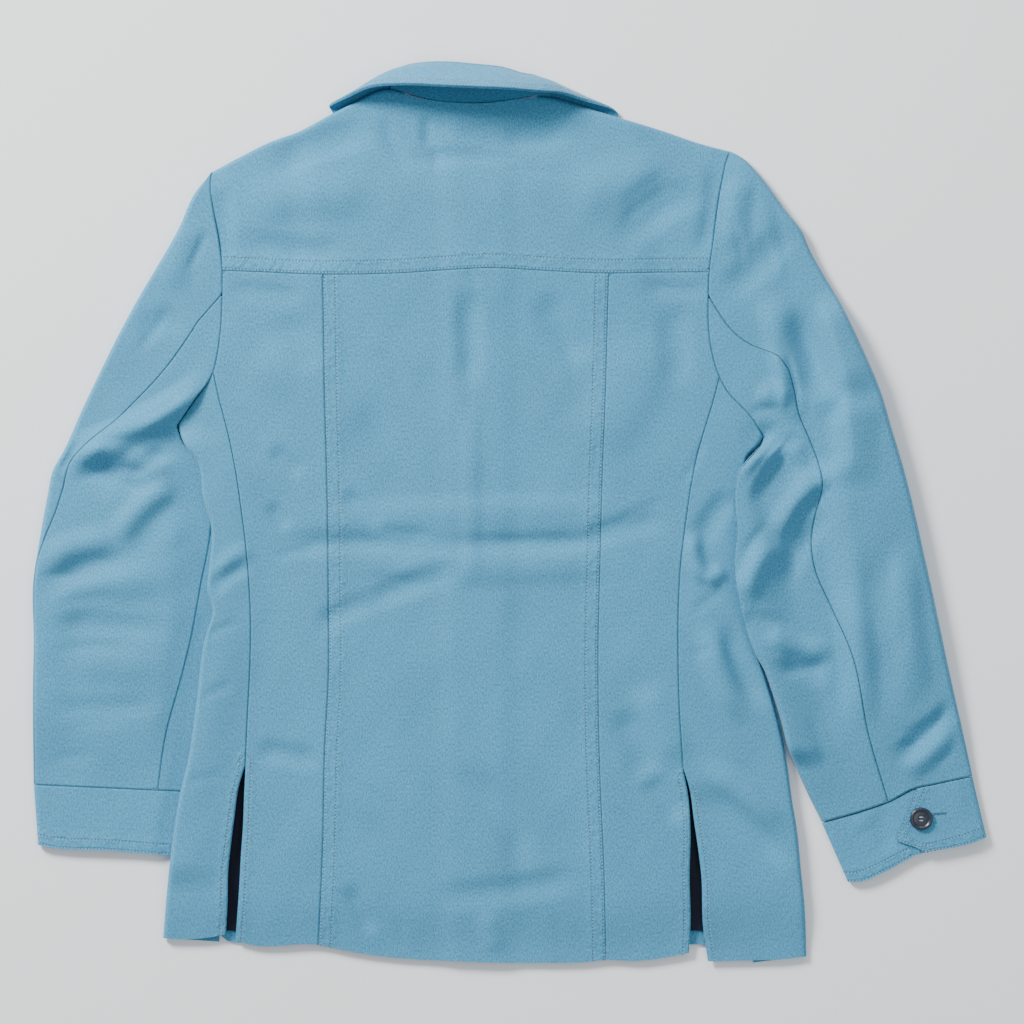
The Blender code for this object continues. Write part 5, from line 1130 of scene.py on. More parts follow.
def collar_face(offset):
    """A face of the collar at an offset from its middle: columns from neck seam to leaf edge.

    Straight up the stand, half a circle round the roll and down the bulging leaf.
    """
    table = np.array(COLLAR_ROWS, float)
    length = chord_length((table[:, 3:6] + table[:, 6:9]) / 2)
    where = np.interp(np.linspace(0, 1, ROWS_COLLAR + 1), np.linspace(0, 1, len(table)), length)
    rows = np.stack([spline(length, table[:, k], where) for k in range(table.shape[1])], 1)
    neck, roll, leaf, flat = rows[:, 0:3], rows[:, 3:6], rows[:, 6:9], rows[:, 9:10]
    to_neck = unit(neck - roll)
    to_leaf = unit(leaf - roll)
    ahead = -unit(to_neck + to_leaf)
    aside = unit(flat * np.array((0.0, 0.0, 1.0)) + (1 - flat) * unit(to_neck - to_leaf))
    aside = unit(aside - ahead * np.sum(aside * ahead, axis=1, keepdims=True))
    centre = roll - ahead * ROLL_RADIUS
    clear = unit(aside - to_neck * np.sum(aside * to_neck, axis=1, keepdims=True)) * offset
    beyond = unit(to_leaf * np.sum(aside * to_leaf, axis=1, keepdims=True) - aside) * offset
    bulge = beyond / offset * rows[:, 10:11]
    radius = ROLL_RADIUS + offset
    foot = neck + clear
    head = centre + aside * radius
    low = foot + unit(foot - head) * np.array((0.8, 0.8, 1.0)) - (0.0, 0.0, 1.6)
    columns = [low] + [foot + (head - foot) * mark for mark in np.linspace(0, 1, 8)[:-1]]
    for turn in np.radians(np.linspace(0, 180, 13)):
        columns.append(centre + aside * np.cos(turn) * radius + ahead * radius * np.sin(turn))
    last = centre - aside * ROLL_RADIUS
    marks = np.linspace(0, 1, 22)[1:]
    swell = spline((0, 0.33, 0.67, 1), (0, 0.9, 0.8, 0), marks)
    for mark, share in zip(marks, swell):
        columns.append(last + (leaf - last) * mark + bulge * share + beyond)
    return np.stack(columns, 1)


def plan_collar(ply):
    """Faces of one ply of the collar; the upper ply has no stand."""
    near, first = (0.15, 8) if ply == "upper" else (-0.15, 0)
    outer = collar_face(near)[:, first:]
    inner = collar_face(near + np.sign(near) * COLLAR_PLY)[:, first:]
    for face in (outer, inner):
        face[..., 2] = np.maximum(face[..., 2], 0.0)
    return (inner, outer) if ply == "upper" else (outer, inner)


def plan_vent_lining(side):
    """Faces of the lining strip that shows inside a vent, with three soft waves down it."""
    one, two = (VENT_LEFT_SIDE_LIP, VENT_LEFT_BACK_LIP) if side == "left" else (
        VENT_RIGHT_SIDE_LIP, VENT_RIGHT_BACK_LIP)
    sign = 1.0 if two[-1][0] > one[-1][0] else -1.0
    y = np.linspace(-216.0, -369.0, 41)
    start = across(one, y) - sign * 9.0
    end = across(two, y) + sign * 9.0
    share = np.linspace(0, 1, 11)[None]
    x = start[:, None] * (1 - share) + end[:, None] * share
    points = np.dstack([x, np.broadcast_to(y[:, None], x.shape)])
    wave = 0.3 * np.sin(np.pi * share) * (1 + np.sin(y / 11.0))[:, None]
    low = body_under(points) + WALL + 0.35 + wave
    return np.dstack([points, low + LINING_WALL]), np.dstack([points, low])


def beside(grid, edge):
    """A grid turned so that its first axis leads in from the named edge."""
    turned = grid if edge in ("top", "bottom") else grid.swapaxes(0, 1)
    return turned[::-1] if edge in ("bottom", "right") else turned


def distance_in(grid, edge):
    """Distance of each grid point from an edge: the running chord length away from it."""
    run = running(beside(grid, edge))[0]
    back = run[::-1] if edge in ("bottom", "right") else run
    return back if edge in ("top", "bottom") else back.swapaxes(0, 1)


def row_fields(name, grid):
    """Signed distances from each grid point to its piece's first and second stitch rows."""
    fields = [np.full(grid.shape[:2], 60.0), np.full(grid.shape[:2], 60.0)]
    for piece, edge, marks, first, last in STITCH_ROWS:
        if piece != name:
            continue
        gone = distance_in(grid, edge)
        share = np.linspace(0, 1, grid.shape[0 if edge in ("left", "right") else 1])
        off = 40 * np.maximum(soft((first - share) / 0.02), soft((share - last) / 0.02))
        gone = gone + (off[:, None] if edge in ("left", "right") else off[None])
        for k, mark in enumerate(marks):
            fields[k] = np.minimum(fields[k], gone - mark)
    return fields


SEAM_EDGES = {
    # piece: edges that are sewn, pull down and carry a band of painted shade
    "back_yoke": ("left", "right", "bottom"), "back_centre": ("top", "left", "right"),
    "back_side_left": ("top", "left", "right"), "back_side_right": ("top", "left", "right"),
    "side_panel_left": ("top", "right"), "side_panel_right": ("top", "right"),
    "sleeve_upper_left": ("left", "bottom"), "sleeve_upper_right": ("left", "bottom"),
    "sleeve_under_left": ("left", "right", "bottom"), "sleeve_under_right": ("left", "right", "bottom"),
    "cuff_left": ("top",), "cuff_right": ("top",),
    "upper_collar": ("right",), "under_collar": ("right",),
    "front_left": ("left",), "front_right": ("left",)}


def shell(name, outer, inner, ring=False):
    """One closed wall from its two faces, with cloth lengths and stitch distances stored on it."""
    rows, columns = outer.shape[:2]
    points = np.concatenate([outer.reshape(-1, 3), inner.reshape(-1, 3)])
    number = np.arange(rows * columns).reshape(rows, columns)
    if ring:
        number = np.concatenate([number, number[:, :1]], axis=1)
    shift = rows * columns
    a, b = number[:-1, :-1].ravel(), number[:-1, 1:].ravel()
    c, d = number[1:, 1:].ravel(), number[1:, :-1].ravel()
    faces = [np.stack([a, b, c, d], 1), np.stack([d, c, b, a], 1) + shift]
    sides = [number[0], number[-1][::-1]]
    if not ring:
        sides += [number[:, -1], number[::-1, 0]]
    for side in sides:
        faces.append(np.stack([side[1:], side[:-1], side[:-1] + shift, side[1:] + shift], 1))
    faces = np.concatenate(faces)
    p, q, r, s = (points[faces[:, k]] for k in range(4))
    if np.sum(np.cross(p, q) * r + np.cross(p, r) * s) < 0:
        faces = faces[:, ::-1]
    item = new_object(name, points, faces.tolist())
    mesh = item.data
    mesh.set_sharp_from_angle(angle=np.radians(50))
    across_run = distance_in(outer, "left")
    across_run = across_run - across_run[:, columns // 2:columns // 2 + 1]
    down_run = distance_in(outer, "top")
    plane = np.dstack([across_run, -down_run]).reshape(-1, 2) * MM
    corner = np.empty(len(mesh.loops), int)
    mesh.loops.foreach_get("vertex_index", corner)
    layer = mesh.uv_layers.new(name="cloth")
    layer.data.foreach_set("uv", np.tile(plane, (2, 1))[corner].astype(np.float32).ravel())
    first, second = row_fields(name, outer)
    seam = np.full(outer.shape[:2], 60.0)
    for edge in SEAM_EDGES.get(name, ()):
        seam = np.minimum(seam, distance_in(outer, edge))
    inside = np.full(shift, 60.0)
    for label, field in (("row_first", first), ("row_second", second), ("seam", seam)):
        values = np.concatenate([field.ravel(), inside]).astype(np.float32)
        mesh.attributes.new(label, "FLOAT", "POINT").data.foreach_set("value", values)
    return item


def new_object(name, points, faces, smooth=True):
    """An object at the origin from points in millimetres and a list of faces."""
    mesh = bpy.data.meshes.new(name)
    mesh.from_pydata((points * MM).tolist(), [], faces)
    mesh.validate()
    if smooth:
        mesh.polygons.foreach_set("use_smooth", np.ones(len(mesh.polygons), bool))
    item = bpy.data.objects.new(name, mesh)
    bpy.context.scene.collection.objects.link(item)
    return item


def surface_normals(grid):
    """Unit normals of a grid: the cross product of its two gradients, turned up."""
    normal = unit(np.cross(np.gradient(grid, axis=1), np.gradient(grid, axis=0)))
    middle = normal[..., 2].mean()
    return normal if middle > 0 else -normal


def stitch_path(grid, edge, mark, first, last):
    """Points and normals along a stitch row that keeps one distance in from an edge."""
    turned = beside(grid, edge)
    normals = beside(surface_normals(grid), edge)
    lines = turned.shape[1]
    keep = slice(int(round(first * (lines - 1))), int(round(last * (lines - 1))) + 1)
    turned, normals = turned[:, keep], normals[:, keep]
    run, steps = running(turned)
    cell = np.clip(np.sum(run <= mark, axis=0) - 1, 0, len(steps) - 1)
    column = np.arange(turned.shape[1])
    part = ((mark - run[cell, column]) / steps[cell, column])[:, None]
    path = turned[cell, column] * (1 - part) + turned[cell + 1, column] * part
    return path, unit(normals[cell, column] * (1 - part) + normals[cell + 1, column] * part)


def stitches_along(path, normals, pitch, length):
    """Centres, directions and normals of stitches spaced evenly along a path."""
    run = chord_length(path)
    count = max(int(run[-1] / pitch), 1)
    middle = (np.arange(count) + 0.5) * run[-1] / count
    put = lambda values, where: np.stack([np.interp(where, run, values[:, k]) for k in range(3)], 1)
    ahead = unit(put(path, middle + length / 2) - put(path, middle - length / 2))
    return put(path, middle), ahead, unit(put(normals, middle))


def lozenges(centres, ahead, up, length, width, height, sides=6, stations=4):
    """One mesh of small rounded lozenges: x is half the length times minus the cosine of a
    station's angle, and the cross section is an ellipse scaled by the sine of that angle."""
    side = unit(np.cross(up, ahead))
    angle = np.linspace(0, np.pi, stations + 2)[1:-1]
    turn = np.arange(sides) * 2 * np.pi / sides
    x = np.repeat(-np.cos(angle) * length / 2, sides)
    y = np.outer(np.sin(angle) ** 0.6, np.cos(turn)).ravel() * width / 2
    z = np.outer(np.sin(angle) ** 0.6, np.sin(turn)).ravel() * height / 2
    local = np.concatenate([np.stack([x, y, z], 1), [[-length / 2, 0, 0], [length / 2, 0, 0]]])
    axes = np.stack([ahead, side, up], 1)
    points = centres[:, None] + np.einsum("pk,nkc->npc", local, axes)
    ring = np.arange(stations * sides).reshape(stations, sides)
    after = np.roll(ring, -1, axis=1)
    body = np.stack([ring[:-1], after[:-1], after[1:], ring[1:]], 2).reshape(-1, 4)
    start, end = stations * sides, stations * sides + 1
    caps = np.concatenate([
        np.stack([after[0], ring[0], np.full(sides, start), np.full(sides, start)], 1),
        np.stack([ring[-1], after[-1], np.full(sides, end), np.full(sides, end)], 1)])
    shift = (np.arange(len(centres)) * len(local))[:, None, None]
    quads = (body[None] + shift).reshape(-1, 4)
    threes = (caps[None, :, :3] + shift).reshape(-1, 3)
    return points.reshape(-1, 3), quads, threes


def small_pieces(name, batches):
    """One object from several batches of lozenges, each with its points, quads and triangles."""
    points, faces, total = [], [], 0
    for p, quads, threes in batches:
        points.append(p)
        faces += (quads + total).tolist() + (threes + total).tolist()
        total += len(p)
    return new_object(name, np.concatenate(points), faces)


def linear(colour):
    """An sRGB hex colour as the linear values that a shader takes."""
    value = np.array([int(colour[k:k + 2], 16) for k in (1, 3, 5)]) / 255
    value = np.where(value <= 0.04045, value / 12.92, ((value + 0.055) / 1.055) ** 2.4)
    return (*value.tolist(), 1.0)


def add(tree, kind, inputs=None, **settings):
    """A node of the named kind, its settings, and its inputs as values or as links."""
    made = tree.nodes.new(kind)
    for key, value in settings.items():
        setattr(made, key, value)
    for key, value in (inputs or {}).items():
        if isinstance(value, bpy.types.NodeSocket):
            tree.links.new(value, made.inputs[key])
        else:
            made.inputs[key].default_value = value
    return made


def material(name, base, roughness, **constants):
    """A material with its shader's fixed values; returns it, its tree and its shader."""
    made = bpy.data.materials.new(name)
    made.use_nodes = True
    shader = made.node_tree.nodes["Principled BSDF"]
    shader.inputs["Base Color"].default_value = linear(base)
    shader.inputs["Roughness"].default_value = roughness
    for key, value in constants.items():
        shader.inputs[key.replace("_", " ")].default_value = value
    return made, made.node_tree, shader


def pulse(tree, value, width, tall):
    """Nodes for a bell: the height times e to minus the squared distance over the width."""
    near = add(tree, "ShaderNodeMath", {0: value, 1: 1 / width}, operation="MULTIPLY").outputs[0]
    square = add(tree, "ShaderNodeMath", {0: near, 1: near}, operation="MULTIPLY").outputs[0]
    minus = add(tree, "ShaderNodeMath", {0: square, 1: -1.0}, operation="MULTIPLY").outputs[0]
    bell = add(tree, "ShaderNodeMath", {0: minus}, operation="EXPONENT").outputs[0]
    return add(tree, "ShaderNodeMath", {0: bell, 1: tall}, operation="MULTIPLY").outputs[0]


def total(tree, values):
    """Nodes that sum several values."""
    result = values[0]
    for value in values[1:]:
        result = add(tree, "ShaderNodeMath", {0: result, 1: value}, operation="ADD").outputs[0]
    return result


def gabardine(name, base, dark, light):
    """Polyester gabardine, piece-dyed and steam pressed: a matt steep twill with a faint
    heather of paler and deeper fibres, and a soft sheen at grazing angles."""
    made, tree, shader = material(name, base, 0.78, Sheen_Weight=0.22, Sheen_Roughness=0.45,
                                  IOR=1.5, Specular_IOR_Level=0.32)
    uv = add(tree, "ShaderNodeUVMap", uv_map="cloth").outputs[0]
    mm = add(tree, "ShaderNodeVectorMath", {0: uv, "Scale": 1000.0}, operation="SCALE").outputs[0]
    # The real twill line is 0.4 mm apart; it is drawn 1.5 mm apart so that it shows
    line = add(tree, "ShaderNodeVectorMath", {0: mm, 1: (3.4, 2.3, 0.0)},
               operation="DOT_PRODUCT").outputs["Value"]
    twill = add(tree, "ShaderNodeMath", {0: line}, operation="SINE").outputs[0]
    # Heather: fibres about 1 mm wide and 2 mm long, down the cloth
    drawn = add(tree, "ShaderNodeVectorMath", {0: mm, 1: (1.0, 0.55, 1.0)},
                operation="MULTIPLY").outputs[0]
    fleck = add(tree, "ShaderNodeTexNoise", {"Vector": drawn, "Scale": 0.8, "Detail": 3.0,
                                             "Roughness": 0.75}, noise_dimensions="2D").outputs[0]
    # Pressed and handled areas, 60 to 90 mm across
    wide = add(tree, "ShaderNodeTexNoise", {"Vector": mm, "Scale": 0.013, "Detail": 2.0},
               noise_dimensions="2D").outputs[0]
    shade = add(tree, "ShaderNodeMapRange", {0: fleck, 1: 0.32, 2: 0.68}).outputs[0]
    mixed = add(tree, "ShaderNodeMix", {0: shade, 6: linear(dark), 7: linear(light)},
                data_type="RGBA").outputs[2]
    worn = add(tree, "ShaderNodeMapRange", {0: wide, 1: 0.3, 2: 0.7, 3: 0.95, 4: 1.05}).outputs[0]
    first = add(tree, "ShaderNodeAttribute", attribute_name="row_first").outputs["Fac"]
    second = add(tree, "ShaderNodeAttribute", attribute_name="row_second").outputs["Fac"]
    seam = add(tree, "ShaderNodeAttribute", attribute_name="seam").outputs["Fac"]
    # Painted shade: the colour darkens in a narrow band along the seams, and faintly along both stitch
    # rows, for the shade in their grooves
    seam_shade = pulse(tree, seam, 0.5, -0.3)
    lines = total(tree, [worn, seam_shade, pulse(tree, first, 0.5, -0.07), pulse(tree, second, 0.5, -0.07)])
    tinted = add(tree, "ShaderNodeVectorMath", {0: mixed, "Scale": lines}, operation="SCALE").outputs[0]
    tree.links.new(tinted, shader.inputs["Base Color"])
    # Puckers across the stitch rows, about 7 mm apart
    fine = add(tree, "ShaderNodeTexNoise", {"Vector": mm, "Scale": 0.16, "Detail": 1.0},
               noise_dimensions="2D").outputs[0]
    near_rows = total(tree, [pulse(tree, first, 5.0, 0.9), pulse(tree, second, 5.0, 0.9)])
    pucker = add(tree, "ShaderNodeMath", {0: fine, 1: near_rows}, operation="MULTIPLY").outputs[0]
    weave = add(tree, "ShaderNodeMath", {0: twill, 1: 0.022}, operation="MULTIPLY").outputs[0]
    nap = add(tree, "ShaderNodeMath", {0: fleck, 1: 0.10}, operation="MULTIPLY").outputs[0]
    height = total(tree, [weave, nap, pucker, pulse(tree, first, 0.7, -0.45),
                          pulse(tree, second, 0.7, -0.45), pulse(tree, seam, 0.8, -0.55)])
    bump = add(tree, "ShaderNodeBump", {"Strength": 1.0, "Distance": MM, "Height": height}).outputs[0]
    tree.links.new(bump, shader.inputs["Normal"])
    rough = add(tree, "ShaderNodeMapRange", {0: wide, 1: 0.3, 2: 0.7, 3: 0.72, 4: 0.84}).outputs[0]
    tree.links.new(rough, shader.inputs["Roughness"])
    return made


def lining_satin(name, base):
    """Acetate lining satin, woven with long floats: smooth, with a low sheen down the cloth."""
    made, tree, shader = material(name, base, 0.5, Specular_IOR_Level=0.25, IOR=1.47)
    uv = add(tree, "ShaderNodeUVMap", uv_map="cloth").outputs[0]
    mm = add(tree, "ShaderNodeVectorMath", {0: uv, "Scale": 1000.0}, operation="SCALE").outputs[0]
    drawn = add(tree, "ShaderNodeVectorMath", {0: mm, 1: (1.2, 0.12, 1.0)},
                operation="MULTIPLY").outputs[0]
    thread = add(tree, "ShaderNodeTexNoise", {"Vector": drawn, "Scale": 1.0, "Detail": 2.0},
                 noise_dimensions="2D").outputs[0]
    rough = add(tree, "ShaderNodeMapRange", {0: thread, 3: 0.42, 4: 0.62}).outputs[0]
    tree.links.new(rough, shader.inputs["Roughness"])
    height = add(tree, "ShaderNodeMath", {0: thread, 1: 0.05}, operation="MULTIPLY").outputs[0]
    bump = add(tree, "ShaderNodeBump", {"Strength": 0.7, "Distance": MM, "Height": height}).outputs[0]
    tree.links.new(bump, shader.inputs["Normal"])
    return made


def sewing_thread(name, base):
    """Spun polyester sewing thread, two plies twisted: slightly brighter than the cloth."""
    made, tree, shader = material(name, base, 0.6, Sheen_Weight=0.2)
    place = add(tree, "ShaderNodeTexCoord").outputs["Object"]
    # The twist of a 0.5 mm thread repeats about every 0.8 mm
    twist = add(tree, "ShaderNodeTexNoise",
                {"Vector": place, "Scale": 1250.0, "Detail": 1.0}).outputs[0]
    tone = add(tree, "ShaderNodeMapRange", {0: twist, 3: 0.86, 4: 1.12}).outputs[0]
    tint = add(tree, "ShaderNodeVectorMath", {0: linear(base)[:3], "Scale": tone},
               operation="SCALE").outputs[0]
    tree.links.new(tint, shader.inputs["Base Color"])
    return made


def moulded_button(name, base):
    """Moulded polyester button with a marbled slate colour, tumbled to a soft gloss."""
    made, tree, shader = material(name, base, 0.3, IOR=1.52, Coat_Weight=0.25, Coat_Roughness=0.25)
    place = add(tree, "ShaderNodeTexCoord").outputs["Object"]
    # Marbling in streaks of 2 to 4 mm
    cloud = add(tree, "ShaderNodeTexNoise", {"Vector": place, "Scale": 320.0, "Detail": 4.0,
                                             "Distortion": 1.2}).outputs[0]
    tone = add(tree, "ShaderNodeMapRange", {0: cloud, 1: 0.35, 2: 0.65, 3: 0.65, 4: 1.6}).outputs[0]
    tint = add(tree, "ShaderNodeVectorMath", {0: linear(base)[:3], "Scale": tone},
               operation="SCALE").outputs[0]
    tree.links.new(tint, shader.inputs["Base Color"])
    rough = add(tree, "ShaderNodeMapRange", {0: cloud, 3: 0.26, 4: 0.42}).outputs[0]
    tree.links.new(rough, shader.inputs["Roughness"])
    return made


FACES = {}
MATERIALS = {}


def finish_for(key, settings):
    """The material for a finish, made once from the settings' colours."""
    if key not in MATERIALS:
        makers = {
            "cloth": lambda: gabardine("polyester_gabardine", settings.cloth_colour,
                                       settings.cloth_dark, settings.cloth_light),
            # Painted shade: the under collar is a darker copy of the cloth, its base the deeper fibre
            # colour, for the shade below the collar's leaf
            "collar": lambda: gabardine("polyester_gabardine_shaded_under_collar", settings.cloth_dark,
                                        settings.under_collar_shade, settings.cloth_colour),
            "lining": lambda: lining_satin("acetate_lining_satin", settings.lining_colour),
            "thread": lambda: sewing_thread("spun_polyester_thread", settings.thread_colour),
            # Painted shade: a dark copy of the thread material, for the needle holes and the
            # buttonhole's slit and thread
            "needle_hole": lambda: sewing_thread("needle_hole_shade", settings.hole_colour),
            "button": lambda: moulded_button("moulded_polyester_button", settings.button_colour),
            "button_thread": lambda: sewing_thread("button_thread", settings.button_thread_colour)}
        MATERIALS[key] = makers[key]()
    return MATERIALS[key]


def finish_piece(item, key, settings, node=None):
    """Give a piece its material and slot, and let it ride on the body and stand for its node."""
    item.data.materials.append(finish_for(key, settings))
    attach(item, "root")
    if node:
        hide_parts(node)


def sew_piece(name, faces, settings, key="cloth", ring=False):
    """Build one piece of cloth and let it stand for its node; its width, length and area are worked out
    but not used.
    """
    outer, inner = faces
    FACES[name] = outer
    item = shell(name, outer, inner, ring)
    item.name = name + "_cloth"
    finish_piece(item, key, settings, name)
    middle = (outer + inner) / 2
    if ring:
        middle = np.concatenate([middle, middle[:, :1]], 1)
    width = np.linalg.norm(np.diff(middle, axis=1), axis=2).sum(1).max() * MM
    length = np.linalg.norm(np.diff(middle, axis=0), axis=2).sum(0).max() * MM
    one = middle[1:, 1:] - middle[:-1, :-1]
    two = middle[1:, :-1] - middle[:-1, 1:]
    area = np.linalg.norm(np.cross(one, two), axis=2).sum() / 2 * MM * MM
    area = float(np.clip(area, 0.31 * width * length, width * length))
    return item


class JacketSettings(bpy.types.PropertyGroup):
    """Sizes and colours of the jacket that a user would change."""
    cloth_colour: bpy.props.StringProperty(
        name="Cloth", description="Mean colour of the gabardine, sRGB hex", default="#3f8cb4")
    cloth_dark: bpy.props.StringProperty(
        name="Deeper fibres", description="Deeper fibres of the heather, sRGB hex", default="#32759a")
    cloth_light: bpy.props.StringProperty(
        name="Paler fibres", description="Paler fibres of the heather, sRGB hex", default="#52a0c2")
    # Painted shade: deepest fibre colour of the under collar's darker copy of the cloth, for the shade
    # below the leaf
    under_collar_shade: bpy.props.StringProperty(
        name="Under collar", description="Deeper fibres under the collar, sRGB hex", default="#2b6180")
    lining_colour: bpy.props.StringProperty(
        name="Lining", description="Colour of the lining in the vents, sRGB hex", default="#080e26")
    thread_colour: bpy.props.StringProperty(
        name="Thread", description="Colour of the topstitching, sRGB hex", default="#76b0ca")
    hole_colour: bpy.props.StringProperty(
        name="Needle holes", description="Shade in the needle holes, sRGB hex", default="#234f66")
    button_colour: bpy.props.StringProperty(
        name="Button", description="Colour of the cuff button, sRGB hex", default="#151e2c")
    button_thread_colour: bpy.props.StringProperty(
        name="Button thread", description="Colour of the button's thread, sRGB hex", default="#a9b4bd")
    stitch_pitch: bpy.props.FloatProperty(
        name="Stitch pitch", description="Distance from one stitch to the next in metres",
        default=0.0030, min=0.0015, max=0.006, unit="LENGTH")
    thread_width: bpy.props.FloatProperty(
        name="Thread width", description="Width of a topstitch in metres",
        default=0.00065, min=0.0002, max=0.0015, unit="LENGTH")
    camera_lens: bpy.props.FloatProperty(
        name="Camera lens", description="Focal length of the studio camera in millimetres",
        default=200.0, min=50.0, max=400.0, subtype="DISTANCE_CAMERA")


class JACKET_OT_yoke(bpy.types.Operator):
    """Back yoke, folded over at both shoulders"""
    bl_idname = "jacket.yoke"
    bl_label = "Back yoke"

    def execute(self, context):
        sew_piece("back_yoke", plan_yoke(), context.scene.jacket)
        return {"FINISHED"}


class JACKET_OT_back(bpy.types.Operator):
    """Centre and side panels of the back"""
    bl_idname = "jacket.back"
    bl_label = "Back panels"

    def execute(self, context):
        for name in ("back_side_left", "back_centre", "back_side_right"):
            sew_piece(name, plan_back(name), context.scene.jacket)
        return {"FINISHED"}


class JACKET_OT_sides(bpy.types.Operator):
    """Side panels, folded round the jacket's edges"""
    bl_idname = "jacket.sides"
    bl_label = "Side panels"

    def execute(self, context):
        for side in ("left", "right"):
            sew_piece("side_panel_" + side, plan_side_panel(side),
                      context.scene.jacket)
        return {"FINISHED"}


class JACKET_OT_fronts(bpy.types.Operator):
    """Fronts, under the back, with their lapped edges"""
    bl_idname = "jacket.fronts"
    bl_label = "Fronts"

    def execute(self, context):
        for side in ("left", "right"):
            sew_piece("front_" + side, plan_front(side), context.scene.jacket)
        return {"FINISHED"}


class JACKET_OT_sleeves(bpy.types.Operator):
    """Upper and under pieces of both sleeves"""
    bl_idname = "jacket.sleeves"
    bl_label = "Sleeves"

    def execute(self, context):
        for side in ("left", "right"):
            sew_piece("sleeve_upper_" + side, plan_upper_sleeve(side),
                      context.scene.jacket)
            sew_piece("sleeve_under_" + side, plan_under_sleeve(side),
                      context.scene.jacket)
        return {"FINISHED"}


class JACKET_OT_cuffs(bpy.types.Operator):
    """Both cuffs; the right one has the pointed tab"""
    bl_idname = "jacket.cuffs"
    bl_label = "Cuffs"

    def execute(self, context):
        sew_piece("cuff_left", plan_left_cuff(), context.scene.jacket, ring=True)
        sew_piece("cuff_right", plan_right_cuff(), context.scene.jacket)
        return {"FINISHED"}


class JACKET_OT_collar(bpy.types.Operator):
    """Upper and under plies of the collar"""
    bl_idname = "jacket.collar"
    bl_label = "Collar"

    def execute(self, context):
        sew_piece("upper_collar", plan_collar("upper"), context.scene.jacket)
        sew_piece("under_collar", plan_collar("under"), context.scene.jacket,
                  "collar")
        return {"FINISHED"}


class JACKET_OT_linings(bpy.types.Operator):
    """Lining strips that show in the vents"""
    bl_idname = "jacket.linings"
    bl_label = "Vent linings"

    def execute(self, context):
        for side in ("left", "right"):
            sew_piece("vent_lining_" + side, plan_vent_lining(side),
                      context.scene.jacket, "lining")
        return {"FINISHED"}


class JACKET_OT_topstitching(bpy.types.Operator):
    """Topstitch rows, with dark lozenges of painted shade at their needle holes"""
    bl_idname = "jacket.topstitching"
    bl_label = "Topstitching"

    def execute(self, context):
        settings = context.scene.jacket
        pitch = settings.stitch_pitch / MM
        wide = settings.thread_width / MM
        threads, holes = {}, {}
        for name, edge, marks, first, last in STITCH_ROWS:
            if name not in FACES:
                raise RuntimeError("sew " + name + " before its topstitching")
            for mark in marks:
                path, normals = stitch_path(FACES[name], edge, mark, first, last)
                centre, ahead, up = stitches_along(path, normals, pitch, 0.72 * pitch)
                threads.setdefault(name, []).append(lozenges(
                    centre - up * 0.02, ahead, up, 0.74 * pitch, wide, wide * 0.8))
                # Painted shade: a flat dark lozenge on the cloth in each gap between stitches stands
                # for the shade down its needle hole
                gap = centre + ahead * (pitch / 2)
                holes.setdefault(name, []).append(lozenges(
                    gap + up * 0.03, ahead, up, 0.4 * pitch, wide * 1.4, 0.24, stations=2))
        for name, batches in threads.items():
            kinds = (("_thread", batches, "thread"), ("_painted_hole_shade", holes[name], "needle_hole"))
            for label, made, key in kinds:
                finish_piece(small_pieces(name + label, made), key, settings)
        return {"FINISHED"}


def button_grid():
    """The button's face: a lathe profile of radius and height, with four holes sunk in it.

    Each hole lowers the height by its depth where a point is nearer its centre than its radius.
    """
    profile = np.array((
        # share of the radius, height above the cuff
        (0.02, 0.0), (0.75, 0.0), (0.94, 0.7), (1.0, 1.6), (0.985, 2.2), (0.95, 2.75), (0.9, 3.1),
        (0.84, 3.2), (0.78, 3.05), (0.73, 2.7), (0.67, 2.3), (0.6, 2.1), (0.5, 1.98), (0.02, 1.9)))
    run = chord_length(profile * (BUTTON_RADIUS, 1.0))
    where = np.concatenate([np.linspace(0, run[-2], 40), np.linspace(run[-2], run[-1], 34)[1:]])
    radius = spline(run, profile[:, 0], where) * BUTTON_RADIUS
    height = spline(run, profile[:, 1], where)
    turn = np.arange(96) * 2 * np.pi / 96
    x = radius[:, None] * np.cos(turn)
    y = radius[:, None] * np.sin(turn)
    z = np.broadcast_to(height[:, None], x.shape).copy()
    on_top = (where > run[-2] - 6)[:, None]
    for cx, cy in ((1.5, 1.5), (-1.5, 1.5), (1.5, -1.5), (-1.5, -1.5)):
        gone = np.hypot(x - cx, y - cy)
        z -= np.where(on_top, 1.5 * soft((1.05 - gone) / 0.3), 0.0)
    return np.dstack([x + BUTTON_CENTRE[0], y + BUTTON_CENTRE[1], z + BUTTON_BASE])


